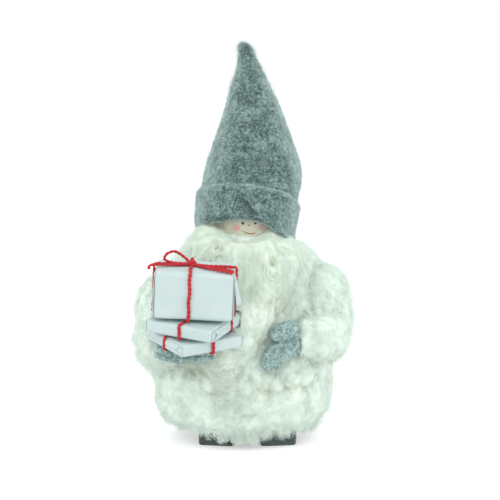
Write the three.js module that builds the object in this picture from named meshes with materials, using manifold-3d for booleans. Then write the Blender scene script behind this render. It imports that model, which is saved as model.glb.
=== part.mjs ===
// A felt and sheepskin tomte with three tied parcels on one mitten.
// Millimetres, +Z up. The figure faces -Y, its own left hand is on +X, and the floor is z = 0.
import * as THREE from 'three';
import { mergeVertices } from 'three/addons/utils/BufferGeometryUtils.js';
import Module from 'manifold-3d';

const wasm = await Module();
wasm.setup();
const { degToRad } = THREE.MathUtils;

// Clearances between pieces that touch
const seat = 0.3;
const paperGap = 0.2;

// Feet and legs
const foot = { length: 38, width: 21, height: 14, flare: 0.7, edge: 0.8, corner: 2 };
const feetSpacing = 31.5;
const feetForward = 7;
const feetSideShift = 2.6;
const footSplay = 9;
const leg = { radius: 5, showing: 8, footSocket: 9, blockSocket: 12 };

// Turned wooden body, neck and head
const block = { bottomRadius: 30, topRadius: 17, height: 82, edge: 1.5 };
const neck = { radius: 4, showing: 6, blockSocket: 10, headSocket: 12 };
const headRadius = 25;
const headSideShift = 1.5;

// Felt hat, measured along its own axis from the rim
const hat = {
  felt: 2, height: 114, rimRadius: 28.4, crownRadius: 27.2, crownHeight: 41, middleRadius: 15.8,
  middleHeight: 79, neckRadius: 7.4, neckHeight: 101, tipRadius: 5.4, cuffHeight: 21, cuffGap: 0.5,
  grooveDepth: 9, rimBelowHead: 10, leanBack: 21, leanSide: 9, bendFrom: 30, bendSide: -17.2, bendBack: -11,
};
const wadding = { foot: 18, top: 92 };

// Sheepskin coat: half width, reach to the front and reach to the back at each station, which is as
// high above the floor or as far below the top of the body block as it says
const coat = {
  hem: { height: 8.5, half: 43, front: 35, back: 38 },
  skirt: { height: 17, half: 49.5, front: 39.5, back: 43 },
  belly: { height: 40, half: 53.5, front: 41, back: 46 },
  waist: { drop: 38, half: 50, front: 36.5, back: 44 },
  chest: { drop: 16, half: 46.5, front: 33, back: 41 },
  shoulder: { drop: -2, half: 42, front: 29, back: 36 },
  collar: { drop: -14, half: 33, front: 26, back: 30 },
  top: { drop: -21, half: 26, front: 20, back: 25 },
};
const coatSquareness = 2.3;

// Fleece beard: sideways place, half width and reach to the front at each station below the block's top
const beard = {
  tip: { drop: 66, x: -12, half: 9, front: 47 },
  curl: { drop: 52, x: -10, half: 17, front: 52 },
  lower: { drop: 36, x: -6, half: 22, front: 54 },
  middle: { drop: 18, x: -2, half: 26, front: 52 },
  upper: { drop: 0, x: 1, half: 30, front: 47 },
  cheek: { drop: -14, x: 1.5, half: 32, front: 41 },
  top: { drop: -24, x: 1.5, half: 28, front: 34 },
};
const beardBack = 12;
const faceWindow = { half: 19, high: 9.5, deep: 18, above: -4 };

// Arms: the upper arm stands on a vertical axis, and the forearm reaches forward from it. Heights are
// below the top of the body block, because the arms hang from it.
const arm = {
  axisX: 46, axisY: -3, radius: 18.5, bottom: 57, roundness: 2.6, wireRadius: 1.1, wireTop: 7,
};
const shoulderWire = { drop: 15, radius: 1.2 };
// Each arm: the top of its shoulder and how square that is, where the forearm leaves the upper arm, its
// bends from the arm's axis, and its half width and half height from the elbow to the cuff
const rightForearm = {
  shoulder: { drop: 4, roundness: 2 },
  start: 34,
  elbow: { x: -5, y: -16, drop: 43 },
  reach: { x: -2, y: -31, drop: 44 },
  top: { across: 14, high: 14 },
  upper: { across: 14, high: 13.5 },
  middle: { across: 13, high: 12.5 },
  lower: { across: 12, high: 10 },
  cuff: { across: 10.5, high: 6 },
};
const leftForearm = {
  shoulder: { drop: -1, roundness: 2.6 },
  start: 32,
  elbow: { x: 4, y: -16, drop: 39 },
  reach: { x: 1, y: -29, drop: 38 },
  top: { across: 14, high: 14 },
  upper: { across: 13.5, high: 13.5 },
  middle: { across: 12, high: 12.5 },
  lower: { across: 9, high: 11 },
  cuff: { across: 5, high: 9.5 },
};

// Mittens: two felt layers sewn edge to edge, from one outline
const mitten = { span: 29, layer: 3.1, edge: 0.8, gap: 0.3, wristX: 12.5, wristY: 4.5, wireReach: 12 };
const leftMitten = { x: 21.4, y: -45.5, drop: 39.7, turn: 15 };
const rightMitten = { x: -4.5, y: -6.5, turn: 128 };

// Parcels: size, turn on the stack, sideways shift, and where the two bands of yarn cross
const bottomParcel = { width: 40, depth: 40, height: 6.8, turn: 35, x: 0, y: 0, bandX: -0.5, bandY: -2 };
const middleParcel = { width: 40, depth: 44, height: 7.1, turn: -22, x: 0, y: 0, bandX: 1, bandY: 4 };
const topParcel = { width: 44, depth: 28, height: 27, turn: 0, x: -0.7, y: -3.4, bandX: -2.5, bandY: 0 };
const paper = 0.6;
const paperCorner = 1.4;
const yarn = { width: 2.2, thickness: 0.8, bowRadius: 0.95, knot: 2.4 };
const bowSize = { loop: 14.6, rise: 4.2, spread: 1.4, slant: 12.6, tail: 0.6 };
const stack = { x: -27.7, y: -58, drop: 35.7, leanForward: 8, leanSide: 3 };
const flap = { drop: 17, rightFlare: 3.4, leftFlare: 1.2 };

// How finely the round forms are cut
const wireSides = 6;
const yarnSides = 8;
const dowelSides = 16;
const bodySides = 32;
const headSides = 26;
const headRows = 15;
const hatSides = 26;
const coneRows = 12;
const armSides = 18;
const armRows = 12;
const coatSides = 30;
const coatRows = 14;
const beardSides = 24;
const beardRows = 12;
const rodStep = 4;

const colours = {
  wool: [0xe9efe4, 1, 0], felt: [0x7f8f8d, 1, 0], paintedWood: [0x474d4e, 0.6, 0], wood: [0xd8bd92, 0.7, 0],
  paper: [0xeef2f3, 0.6, 0], yarn: [0xb3202c, 0.95, 0], wire: [0x8d9196, 0.4, 0.9], filling: [0xf2f0ea, 1, 0],
};

// Heights that follow from the sizes above
const blockBottom = foot.height + leg.showing;
const blockTop = blockBottom + block.height;
const headZ = blockTop + neck.showing + headRadius;
const wireZ = blockTop - shoulderWire.drop;

// Turns a closed geometry into a solid whose faces point out.
function solid(geometry) {
  const bare = geometry.clone();
  bare.deleteAttribute('normal');
  bare.deleteAttribute('uv');
  const merged = mergeVertices(bare, 1e-4);
  const place = merged.getAttribute('position');
  const corners = [];
  let volume = 0;
  const [a, b, c] = [new THREE.Vector3(), new THREE.Vector3(), new THREE.Vector3()];
  for (let i = 0; i < merged.index.count; i += 3) {
    const [p, q, r] = [0, 1, 2].map((k) => merged.index.getX(i + k));
    if (p === q || q === r || r === p) continue;
    corners.push([p, q, r]);
    volume += a.fromBufferAttribute(place, p).dot(
      b.fromBufferAttribute(place, q).cross(c.fromBufferAttribute(place, r)));
  }
  const outward = volume > 0 ? corners : corners.map(([p, q, r]) => [p, r, q]);
  return new wasm.Manifold(new wasm.Mesh({
    numProp: 3, vertProperties: Float32Array.from(place.array), triVerts: Uint32Array.from(outward.flat()),
  }));
}

// The largest single body of a solid, without the slivers that a cut can leave.
function mainBody(shape) {
  return shape.decompose().reduce((best, piece) => (piece.volume() > best.volume() ? piece : best));
}

function node(name, shape, colour) {
  const cut = shape.getMesh();
  const geometry = new THREE.BufferGeometry();
  geometry.setAttribute('position', new THREE.BufferAttribute(Float32Array.from(cut.vertProperties), 3));
  geometry.setIndex(new THREE.BufferAttribute(Uint32Array.from(cut.triVerts), 1));
  geometry.computeVertexNormals();
  const [hue, roughness, metalness] = colour;
  const mesh = new THREE.Mesh(geometry, new THREE.MeshStandardMaterial({ color: hue, roughness, metalness }));
  mesh.name = name;
  return mesh;
}

// Skins a row of equal rings: round and round for a loop, else with a fan over each end.
function skin(rings, looped = false) {
  const around = rings[0].length;
  const points = rings.flat();
  const faces = [];
  const bands = looped ? rings.length : rings.length - 1;
  for (let r = 0; r < bands; r += 1) {
    for (let s = 0; s < around; s += 1) {
      const here = r * around;
      const next = ((r + 1) % rings.length) * around;
      const turn = (s + 1) % around;
      faces.push(here + s, here + turn, next + turn, here + s, next + turn, next + s);
    }
  }
  if (!looped) {
    for (const [end, first] of [[rings[0], 0], [rings.at(-1), (rings.length - 1) * around]]) {
      const hub = points.length;
      points.push(end.reduce((sum, p) => sum.addScaledVector(p, 1 / around), new THREE.Vector3()));
      for (let s = 0; s < around; s += 1) {
        const pair = [first + s, first + (s + 1) % around];
        faces.push(hub, ...(first === 0 ? pair.reverse() : pair));
      }
    }
  }
  const geometry = new THREE.BufferGeometry().setFromPoints(points);
  geometry.setIndex(faces);
  return solid(geometry);
}

// A ring of points about a centre, on two half axes.
function ring(centre, right, up, count) {
  return Array.from({ length: count }, (_, s) => {
    const angle = (s / count) * 2 * Math.PI;
    return centre.clone().addScaledVector(right, Math.cos(angle)).addScaledVector(up, Math.sin(angle));
  });
}

// A closed lathe turned to stand on +Z, from [radius, height] points that start and end on the axis.
function turned(profile, segments) {
  const geometry = new THREE.LatheGeometry(profile.map(([r, h]) => new THREE.Vector2(r, h)), segments);
  return solid(geometry.rotateX(Math.PI / 2));
}

function upright(radius, bottom, top, x = 0, y = 0, segments = dowelSides) {
  return turned([[0, bottom], [radius, bottom], [radius, top], [0, top]], segments).translate([x, y, 0]);
}

function ball(radius, x, y, z) {
  return solid(new THREE.SphereGeometry(radius, headSides, headRows)).translate([x, y, z]);
}

// A round rod through points, with rings square to the path.
function rod(points, radius) {
  const path = new THREE.CatmullRomCurve3(points, false, 'centripetal');
  const steps = Math.max(2, Math.round(path.getLength() / rodStep));
  const frames = path.computeFrenetFrames(steps, false);
  return skin(Array.from({ length: steps + 1 }, (_, i) => ring(path.getPointAt(i / steps),
    frames.normals[i].clone().multiplyScalar(radius), frames.binormals[i].clone().multiplyScalar(radius),
    wireSides)));
}

// The outline of a rectangle with rounded corners.
function roundedRectangle(halfWidth, halfHeight, corner, steps) {
  return [[1, -1], [1, 1], [-1, 1], [-1, -1]].flatMap(([cx, cy], quarter) =>
    Array.from({ length: steps + 1 }, (_, i) => {
      const angle = ((quarter - 1 + i / steps) * Math.PI) / 2;
      return [cx * (halfWidth - corner) + corner * Math.cos(angle),
        cy * (halfHeight - corner) + corner * Math.sin(angle)];
    }));
}

// Reads the smooth values of a profile between its stations, at one height.
function stationValues(stations, keys, z) {
  return keys.map((key) => {
    const curve = new THREE.SplineCurve(Object.values(stations).map((s) =>
      new THREE.Vector2(s.height ?? blockTop - s.drop, s[key])));
    let [low, high] = [0, 1];
    while (high - low > 1e-7) {
      const middle = (low + high) / 2;
      if (curve.getPoint(middle).x < z) low = middle;
      else high = middle;
    }
    return curve.getPoint(low).y;
  });
}

// A solid placed by its group, in the frame of the whole figure.
function inFigure(group, shape) {
  group.updateWorldMatrix(true, false);
  return shape.transform(group.matrixWorld.elements);
}

const figure = new THREE.Group();

// Feet
function footSolid(extra = 0) {
  const levels = [[-extra, extra - foot.edge], [foot.edge, extra],
    [foot.height - foot.edge, extra + foot.flare], [foot.height + extra, extra + foot.flare - foot.edge]];
  return skin(levels.map(([z, grow]) =>
    roundedRectangle(foot.width / 2 + grow, foot.length / 2 + grow, foot.corner, 2)
      .map(([x, y]) => new THREE.Vector3(x, y, z))));
}

// Legs, body block and neck
const coatCuts = [];
const beardCuts = [];
const blockSolid = (extra) => turned([[0, -extra], [block.bottomRadius + extra - block.edge, -extra],
  [block.bottomRadius + extra, block.edge], [block.topRadius + extra, block.height - block.edge],
  [block.topRadius + extra - block.edge, block.height + extra], [0, block.height + extra]], bodySides)
  .translate([0, 0, blockBottom]);
let bodyBlock = blockSolid(0);
coatCuts.push(blockSolid(seat));
for (const [side, sign] of [['right', -1], ['left', 1]]) {
  const group = new THREE.Group();
  group.position.set((sign * feetSpacing) / 2 + feetSideShift, -feetForward, 0);
  group.rotation.z = degToRad(sign * footSplay);
  figure.add(group);
  const socket = upright(leg.radius + seat, foot.height - leg.footSocket - seat,
    blockBottom + leg.blockSocket + seat, 0, feetForward);
  const dowel = upright(leg.radius, foot.height - leg.footSocket, blockBottom + leg.blockSocket, 0,
    feetForward);
  group.add(node(`${side}_foot`, footSolid().subtract(socket), colours.paintedWood));
  group.add(node(`${side}_leg_dowel`, dowel, colours.wood));
  bodyBlock = bodyBlock.subtract(inFigure(group, socket));
  coatCuts.push(inFigure(group, socket), inFigure(group, footSolid(seat)));
}
const neckHole = upright(neck.radius + seat, blockTop - neck.blockSocket - seat,
  blockTop + neck.showing + neck.headSocket + seat);
const wireHalf = arm.axisX - arm.radius - seat;
const crossRod = (radius, half) => rod([-half, 0, half].map((x) => new THREE.Vector3(x, 0, wireZ)), radius);
const crossHole = crossRod(shoulderWire.radius + seat, arm.axisX);
bodyBlock = bodyBlock.subtract(neckHole).subtract(crossHole);
figure.add(node('body_block', bodyBlock, colours.wood));
figure.add(node('neck_dowel', upright(neck.radius, blockTop - neck.blockSocket,
  blockTop + neck.showing + neck.headSocket), colours.wood));
figure.add(node('shoulder_wire', crossRod(shoulderWire.radius, wireHalf), colours.wire));
figure.add(node('head_ball', ball(headRadius, headSideShift, 0, headZ).subtract(neckHole), colours.wood));
coatCuts.push(neckHole, crossHole);

// Hat: one felt cone with its rim turned up as a cuff, in a group that leans with the hat
const hatGroup = new THREE.Group();
hatGroup.position.set(headSideShift, 0, headZ);
hatGroup.rotation.set(degToRad(-hat.leanBack), degToRad(hat.leanSide), 0);
figure.add(hatGroup);
const coneCurve = new THREE.SplineCurve([[hat.rimRadius, 0], [hat.crownRadius, hat.crownHeight],
  [hat.middleRadius, hat.middleHeight], [hat.neckRadius, hat.neckHeight],
  [hat.tipRadius, hat.height - hat.tipRadius]].map(([r, h]) => new THREE.Vector2(r, h)));
const conePoints = (from, to, inset, steps) => Array.from({ length: steps + 1 }, (_, i) => {
  const point = coneCurve.getPoint(from + ((to - from) * i) / steps);
  return [point.x - inset, point.y];
});
function coneShare(height) {
  let share = 0;
  while (share < 1 && coneCurve.getPoint(share).y < height) share += 0.005;
  return share;
}
function bent(shape) {
  const length = hat.height - hat.bendFrom;
  return shape.warp((v) => {
    const along = Math.max(0, v[2] - hat.bendFrom) / length;
    v[0] += hat.bendSide * along * along;
    v[1] += hat.bendBack * along * along;
    v[2] -= hat.rimBelowHead;
  });
}
const cuffInner = hat.rimRadius + hat.cuffGap;
const cuffOuter = cuffInner + hat.felt;
const tipRounding = [0.4, 0.72, 0.93];
const coneEnds = { rim: 0.03, tip: 0.97 };
const hatProfile = [
  [0, hat.height], ...tipRounding.map((share) => [hat.tipRadius * share,
    hat.height - hat.tipRadius * (1 - Math.sqrt(1 - share * share))]),
  ...conePoints(coneShare(hat.cuffHeight), 1, 0, coneRows).reverse(),
  [hat.rimRadius, hat.cuffHeight - hat.grooveDepth], [cuffInner, hat.cuffHeight - hat.grooveDepth],
  [cuffInner, hat.cuffHeight - hat.felt / 2], [cuffInner + hat.felt / 2, hat.cuffHeight],
  [cuffOuter, hat.cuffHeight - hat.felt / 2], [cuffOuter, hat.felt], [cuffOuter - hat.felt, 0],
  [hat.rimRadius - hat.felt / 2, 0], ...conePoints(coneEnds.rim, coneEnds.tip, hat.felt, coneRows),
  [0, hat.height - hat.tipRadius],
];
hatGroup.add(node('hat', bent(turned(hatProfile, hatSides)), colours.felt));
const fillingShare = [coneShare(wadding.foot), coneShare(wadding.top)];
const fillingProfile = [[0, wadding.foot], ...conePoints(...fillingShare, hat.felt + 2 * seat, coneRows),
  [0, wadding.top]];
const filling = bent(turned(fillingProfile, hatSides)).subtract(ball(headRadius + seat, 0, 0, 0));
hatGroup.add(node('hat_wadding', filling, colours.filling));
const hatPath = inFigure(hatGroup,
  upright(cuffOuter + 2 * seat, -hat.rimBelowHead - seat, hat.height, 0, 0, bodySides));
const ballSeat = ball(headRadius + seat, headSideShift, 0, headZ);
coatCuts.push(hatPath, ballSeat);
beardCuts.push(hatPath, ballSeat);

// Mittens: the outline has its cuff at +x and its thumb at +y, as shares of the mitten's span
const mittenPoint = ([x, y]) => new THREE.Vector2(x * mitten.span, y * mitten.span);
const thumb = [[0.103, 0.469], [-0.103, 0.386], [-0.214, 0.241], [-0.172, 0.11], [-0.055, 0.069]];
const palm = [[-0.241, -0.021], [-0.366, -0.193], [-0.393, -0.379], [-0.297, -0.51], [-0.124, -0.497],
  [0.103, -0.324], [0.283, -0.231], [0.414, -0.138]];
const mittenOutline = new THREE.Shape();
mittenOutline.moveTo(0.362 * mitten.span, 0.483 * mitten.span);
mittenOutline.splineThru(thumb.map(mittenPoint));
mittenOutline.splineThru(palm.map(mittenPoint));
mittenOutline.closePath();
const mittenThickness = 2 * mitten.layer + mitten.gap;
function mittenSolid(extra = 0) {
  const shape = solid(new THREE.ExtrudeGeometry(mittenOutline, {
    depth: mittenThickness + 2 * extra - 2 * mitten.edge, steps: 1, curveSegments: 3, bevelEnabled: true,
    bevelThickness: mitten.edge, bevelSize: mitten.edge, bevelOffset: extra - mitten.edge, bevelSegments: 2,
  }));
  return shape.translate([0, 0, mitten.edge - extra - mittenThickness / 2]);
}
const layerCut = solid(new THREE.BoxGeometry(2 * mitten.span, 2 * mitten.span, 2 * mitten.span));
const mittenLayers = (whole) => [1, -1].map((side) =>
  whole.subtract(layerCut.translate([0, 0, side * (mitten.gap / 2 - mitten.span)])));

// Sleeves: an upright upper arm and a forearm that narrows to the cuff
function upperArm(shoulder, extra) {
  const middle = -(arm.bottom + shoulder.drop) / 2;
  const half = (arm.bottom - shoulder.drop) / 2 + extra;
  const profile = Array.from({ length: armRows + 1 }, (_, i) => {
    const angle = (i / armRows - 0.5) * Math.PI;
    const power = 2 / (angle > 0 ? shoulder.roundness : arm.roundness);
    const round = Math.abs(Math.cos(angle)) ** power;
    const high = Math.sign(angle) * Math.abs(Math.sin(angle)) ** power;
    return [i % armRows === 0 ? 0 : (arm.radius + extra) * round, middle + half * high];
  });
  return turned(profile, armSides);
}
function forearmSolid(path, stations, extra) {
  return skin(stations.map(({ across, high }, i) => {
    const along = i / (stations.length - 1);
    const direction = path.getTangentAt(along);
    const right = new THREE.Vector3(0, 0, 1).cross(direction).normalize().negate();
    const up = right.clone().cross(direction).normalize().negate();
    return ring(path.getPointAt(along), right.multiplyScalar(across + extra), up.multiplyScalar(high + extra),
      armSides);
  }));
}

function buildArm(side, sign, forearm, mittenPlace) {
  const group = new THREE.Group();
  group.position.set(sign * arm.axisX, arm.axisY, blockTop);
  figure.add(group);
  const holder = mittenPlace(group);
  group.updateWorldMatrix(false, true);
  const toArm = group.matrixWorld.clone().invert().multiply(holder.matrixWorld);
  const inMitten = (reach) => new THREE.Vector3(mitten.wristX - reach, mitten.wristY, 0).applyMatrix4(toArm);
  const bends = [forearm.elbow, forearm.reach].map(({ x, y, drop }) => new THREE.Vector3(x, y, -drop));
  const route = [new THREE.Vector3(0, 0, -forearm.start), ...bends, inMitten(0)];
  const path = new THREE.CatmullRomCurve3(route);
  const line = [new THREE.Vector3(0, 0, -arm.wireTop), ...route, inMitten(mitten.wireReach / 4),
    inMitten(mitten.wireReach)];
  const bore = rod(line, arm.wireRadius + seat);
  const stations = [forearm.top, forearm.upper, forearm.middle, forearm.lower, forearm.cuff];
  const sleeve = (extra) => upperArm(forearm.shoulder, extra).add(forearmSolid(path, stations, extra));
  const whole = mittenSolid().subtract(bore.transform(toArm.clone().invert().elements));
  mittenLayers(whole).forEach((layer, i) => holder.add(node(`${side}_mitten_${['front', 'back'][i]}`,
    mainBody(layer), colours.felt)));
  group.add(node(`${side}_arm_wire`, rod(line, arm.wireRadius), colours.wire));
  return { group, holder, sleeve, bore, mittenEnvelope: mittenSolid(seat).transform(toArm.elements) };
}

const stackGroup = new THREE.Group();
const right = buildArm('right', -1, rightForearm, (group) => {
  stackGroup.position.set(stack.x + arm.axisX, stack.y - arm.axisY, -stack.drop);
  stackGroup.rotation.set(degToRad(stack.leanForward), degToRad(stack.leanSide), 0);
  group.add(stackGroup);
  const holder = new THREE.Group();
  holder.position.set(rightMitten.x, rightMitten.y, -yarn.thickness - 2 * paperGap - mittenThickness / 2);
  holder.rotation.z = degToRad(rightMitten.turn);
  stackGroup.add(holder);
  return holder;
});
const left = buildArm('left', 1, leftForearm, (group) => {
  const holder = new THREE.Group();
  holder.position.set(leftMitten.x - arm.axisX, leftMitten.y - arm.axisY, -leftMitten.drop);
  holder.rotation.set(Math.PI / 2, 0, degToRad(leftMitten.turn), 'ZXY');
  group.add(holder);
  return holder;
});

// Parcels: a block in a paper sleeve with folded ends, tied crosswise
function roundedSleeve(parcel, extra = 0) {
  const outline = roundedRectangle(parcel.depth / 2 + extra, parcel.height / 2 + extra, paperCorner, 2);
  return skin([-1, 1].map((end) => outline.map(([y, z]) =>
    new THREE.Vector3(end * (parcel.width / 2 + extra), y, parcel.height / 2 + z))));
}
const boxAt = (width, depth, height, x, y, z) =>
  solid(new THREE.BoxGeometry(width, depth, height)).translate([x, y, z]);

// One band of yarn round a parcel, as a loop with an oval section.
function band(parcel, alongX) {
  const off = paperGap + yarn.thickness / 2;
  const half = (alongX ? parcel.width : parcel.depth) / 2 + off;
  const high = parcel.height / 2 + off;
  const bendRadius = 2 * paperGap + yarn.thickness / 2;
  const place = (u, w, lateral) => (alongX
    ? new THREE.Vector3(u, parcel.bandY + lateral, parcel.height / 2 + w)
    : new THREE.Vector3(parcel.bandX + lateral, u, parcel.height / 2 + w));
  const lines = Array.from({ length: yarnSides }, (_, s) => {
    const around = (s / yarnSides) * 2 * Math.PI;
    const out = (yarn.thickness / 2) * Math.cos(around);
    return roundedRectangle(half + out, high + out, bendRadius + out, 3)
      .map(([u, w]) => place(u, w, (yarn.width / 2) * Math.sin(around)));
  });
  return skin(lines[0].map((_, i) => lines.map((line) => line[i])), true);
}

// A knot with one loop to the right, one pressed flat to the left, and an end over the right edge.
function bow(parcel) {
  const { bandX: x, bandY: y, height } = parcel;
  const rest = height + 2 * paperGap + yarn.bowRadius;
  const strand = (points) => rod(points.map(([px, py, pz]) => new THREE.Vector3(x + px, y + py, rest + pz)),
    yarn.bowRadius);
  const knotHigh = yarn.knot * 0.62;
  const knot = ball(1, 0, 0, 0).scale([yarn.knot, yarn.knot * 0.9, knotHigh])
    .translate([x, y, height + paperGap + knotHigh]);
  const edge = parcel.width / 2;
  const { loop, rise, spread, slant, tail } = bowSize;
  const flat = yarn.bowRadius / 8;
  return knot
    .add(strand([[0, 0, 3 * flat], [-loop * 0.28, spread * 0.7, rise * 0.6], [-loop * 0.62, spread, rise],
      [-loop * 0.92, spread * 0.8, rise * 0.8], [-loop, 0, rise * 0.38], [-loop * 0.75, -spread, 8 * flat],
      [-loop * 0.34, -spread * 0.7, 6 * flat], [0, 0, 2 * flat]]))
    .add(strand([[0, 0, flat], [edge * 0.37, -slant * 0.4, 0], [edge - 2 * yarn.bowRadius, -slant * 0.9, 0],
      [edge + yarn.bowRadius, -slant, 0], [edge + yarn.bowRadius / 2, -slant * 0.78, 0],
      [edge - 4 * yarn.bowRadius, -slant * 0.55, 0], [edge * 0.37, -slant * 0.2, flat], [0, 0, flat]]))
    .add(strand([[0, 0, flat], [-edge * 0.42, -slant * 0.2, flat],
      [3 * yarn.bowRadius - edge, -slant * 0.32, flat], [-edge - tail, -slant * 0.37, -tail]]));
}
let baseZ = 0;
const envelopes = [];
const parcels = { bottom_parcel: bottomParcel, middle_parcel: middleParcel, top_parcel: topParcel };
for (const [name, parcel] of Object.entries(parcels)) {
  const group = new THREE.Group();
  group.position.set(parcel.x, parcel.y, baseZ);
  group.rotation.z = degToRad(parcel.turn);
  stackGroup.add(group);
  const { width, depth, height } = parcel;
  const inner = paper + paperGap;
  const hollow = boxAt(width + 4 * paper, depth - 2 * paper, height - 2 * paper, 0, 0, height / 2);
  group.add(node(`${name}_wrap`, roundedSleeve(parcel).subtract(hollow), colours.paper));
  const core = boxAt(width - 2 * inner, depth - 2 * inner, height - 2 * inner, 0, 0, height / 2);
  group.add(node(`${name}_block`, core, colours.wood));
  for (const [side, sign] of [['right', -1], ['left', 1]]) {
    const face = (sign * width) / 2;
    let fold = boxAt(paper, depth - 2 * inner, height - 2 * inner, face - (sign * paper) / 2, 0, height / 2);
    if (parcel === topParcel) {
      const flare = sign * (sign > 0 ? flap.rightFlare : flap.leftFlare);
      const flapTop = height - inner;
      const outline = (y) => [[face - sign * paper, flapTop], [face, flapTop],
        [face + flare, flapTop - flap.drop],
        [face + flare - sign * paper, flapTop - flap.drop]].map(([x, z]) => new THREE.Vector3(x, y, z));
      fold = fold.add(skin([outline(inner - depth / 2), outline(parcel.bandY - yarn.width)]));
    }
    group.add(node(`${name}_${side}_fold`, fold, colours.paper));
  }
  let tie = band(parcel, true).add(band(parcel, false));
  if (parcel === topParcel) tie = tie.add(bow(parcel));
  group.add(node(`${name}_tie`, tie, colours.yarn));
  const grow = seat + paperGap + yarn.thickness;
  envelopes.push(inFigure(group, roundedSleeve(parcel, grow)));
  baseZ += height + 2 * yarn.thickness + 3 * paperGap;
}

// Sleeves, cut where the mittens, wires and parcels press into the wool
const toGroup = (group, shape) => shape.transform(group.matrixWorld.clone().invert().elements);
for (const [side, built] of [['right', right], ['left', left]]) {
  let sleeve = built.sleeve(0).subtract(built.bore).subtract(built.mittenEnvelope);
  const pressed = side === 'right' ? envelopes : [];
  pressed.forEach((shape) => { sleeve = sleeve.subtract(toGroup(built.group, shape)); });
  built.group.add(node(`${side}_sleeve`, mainBody(sleeve), colours.wool));
  const worn = inFigure(built.group, built.sleeve(seat));
  const hand = inFigure(built.group, built.mittenEnvelope);
  coatCuts.push(worn, hand);
  beardCuts.push(worn, hand);
}
coatCuts.push(...envelopes);
beardCuts.push(...envelopes);

// Coat and beard
function coatSolid(extra) {
  const low = coat.hem.height;
  const high = blockTop - coat.top.drop;
  const power = 2 / coatSquareness;
  return skin(Array.from({ length: coatRows + 1 }, (_, i) => {
    const z = low + ((high - low) * i) / coatRows;
    const [half, front, back] = stationValues(coat, ['half', 'front', 'back'], z);
    const lift = i === 0 ? -extra : i === coatRows ? extra : 0;
    return Array.from({ length: coatSides }, (_, s) => {
      const angle = (s / coatSides) * 2 * Math.PI;
      const [c, n] = [Math.cos(angle), Math.sin(angle)];
      return new THREE.Vector3((half + extra) * Math.sign(c) * Math.abs(c) ** power,
        ((n > 0 ? back : front) + extra) * Math.sign(n) * Math.abs(n) ** power, z + lift);
    });
  }));
}
let coatShape = coatSolid(0);
coatCuts.forEach((cut) => { coatShape = coatShape.subtract(cut); });
figure.add(node('coat', mainBody(coatShape), colours.wool));

const beardLow = blockTop - beard.tip.drop;
const beardHigh = blockTop - beard.top.drop;
const beardRings = Array.from({ length: beardRows + 1 }, (_, i) => {
  const z = beardLow + ((beardHigh - beardLow) * i) / beardRows;
  const [x, half, front] = stationValues(beard, ['x', 'half', 'front'], z);
  return ring(new THREE.Vector3(x, -(front + beardBack) / 2, z), new THREE.Vector3(half, 0, 0),
    new THREE.Vector3(0, (front - beardBack) / 2, 0), beardSides);
});
const face = ball(1, 0, 0, 0).scale([faceWindow.half, faceWindow.deep, faceWindow.high])
  .translate([headSideShift, -headRadius - faceWindow.deep / 2, headZ + faceWindow.above]);
let beardShape = skin(beardRings).subtract(coatSolid(seat)).subtract(face);
beardCuts.forEach((cut) => { beardShape = beardShape.subtract(cut); });
figure.add(node('beard', mainBody(beardShape), colours.wool));

// The origin is under the middle of the whole figure, on the floor
const reach = new THREE.Box3().setFromObject(figure, true);
const centre = reach.getCenter(new THREE.Vector3());
figure.position.set(-centre.x, -centre.y, -reach.min.z);
figure.updateMatrixWorld(true);
const say = (label, x, y, z) => console.log(label, [x - centre.x, y - centre.y, z - reach.min.z]
  .map((value) => value.toFixed(3)).join(' '));
say('right arm axis', -arm.axisX, arm.axisY, blockTop - arm.bottom);
say('left arm axis', arm.axisX, arm.axisY, blockTop - arm.bottom);
say('head centre', headSideShift, 0, headZ);
for (const [side, sign] of [['right', -1], ['left', 1]]) {
  say(`${side} sole`, (sign * feetSpacing) / 2 + feetSideShift, -feetForward, 0);
}

export default figure;
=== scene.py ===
# A tomte in a felt hat and a sheepskin coat, with three tied parcels on one mitten.
import math

import bpy
import numpy as np
from mathutils import Matrix, Vector
from mathutils.bvhtree import BVHTree


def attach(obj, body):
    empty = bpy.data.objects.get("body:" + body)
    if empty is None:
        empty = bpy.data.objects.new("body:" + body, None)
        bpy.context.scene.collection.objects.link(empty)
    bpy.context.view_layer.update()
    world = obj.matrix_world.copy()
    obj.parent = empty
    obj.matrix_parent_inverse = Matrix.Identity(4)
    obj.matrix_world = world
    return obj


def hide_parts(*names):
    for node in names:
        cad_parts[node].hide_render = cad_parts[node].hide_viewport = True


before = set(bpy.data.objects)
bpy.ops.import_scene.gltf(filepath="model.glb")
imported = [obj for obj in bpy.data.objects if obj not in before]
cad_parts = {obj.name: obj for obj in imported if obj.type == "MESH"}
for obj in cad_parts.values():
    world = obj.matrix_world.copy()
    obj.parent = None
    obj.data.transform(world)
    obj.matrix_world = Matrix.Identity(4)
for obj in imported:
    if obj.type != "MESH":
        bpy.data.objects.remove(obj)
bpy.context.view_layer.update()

# Sizes are in millimetres in the model's frame: +Z up, the face towards -Y, and the floor at 0.
MM = 0.001
AXES_Y = 20.896      # the body's middle line lies this far behind the frame's origin
BLOCK_TOP = 104.0
HEAD = np.array([1.5, AXES_Y, 135.0])
HEAD_RADIUS = 25.0
SIGN = {"right": -1, "left": 1}      # the figure's own sides, along X
SHOULDER = (46, AXES_Y - 3)      # each arm's upright axis: how far out and how far back
SWINGS = {"right": -30, "left": 45}      # how far each arm swings, in degrees about that axis
rng = np.random.default_rng(20)


# ---- camera, light and stage ----

def unit(v):
    """Vectors of length one, along the last axis."""
    return v / np.maximum(np.linalg.norm(v, axis=-1, keepdims=True), 1e-9)


def add_object(name, data):
    piece = bpy.data.objects.new(name, data)
    bpy.context.collection.objects.link(piece)
    return piece


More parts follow.
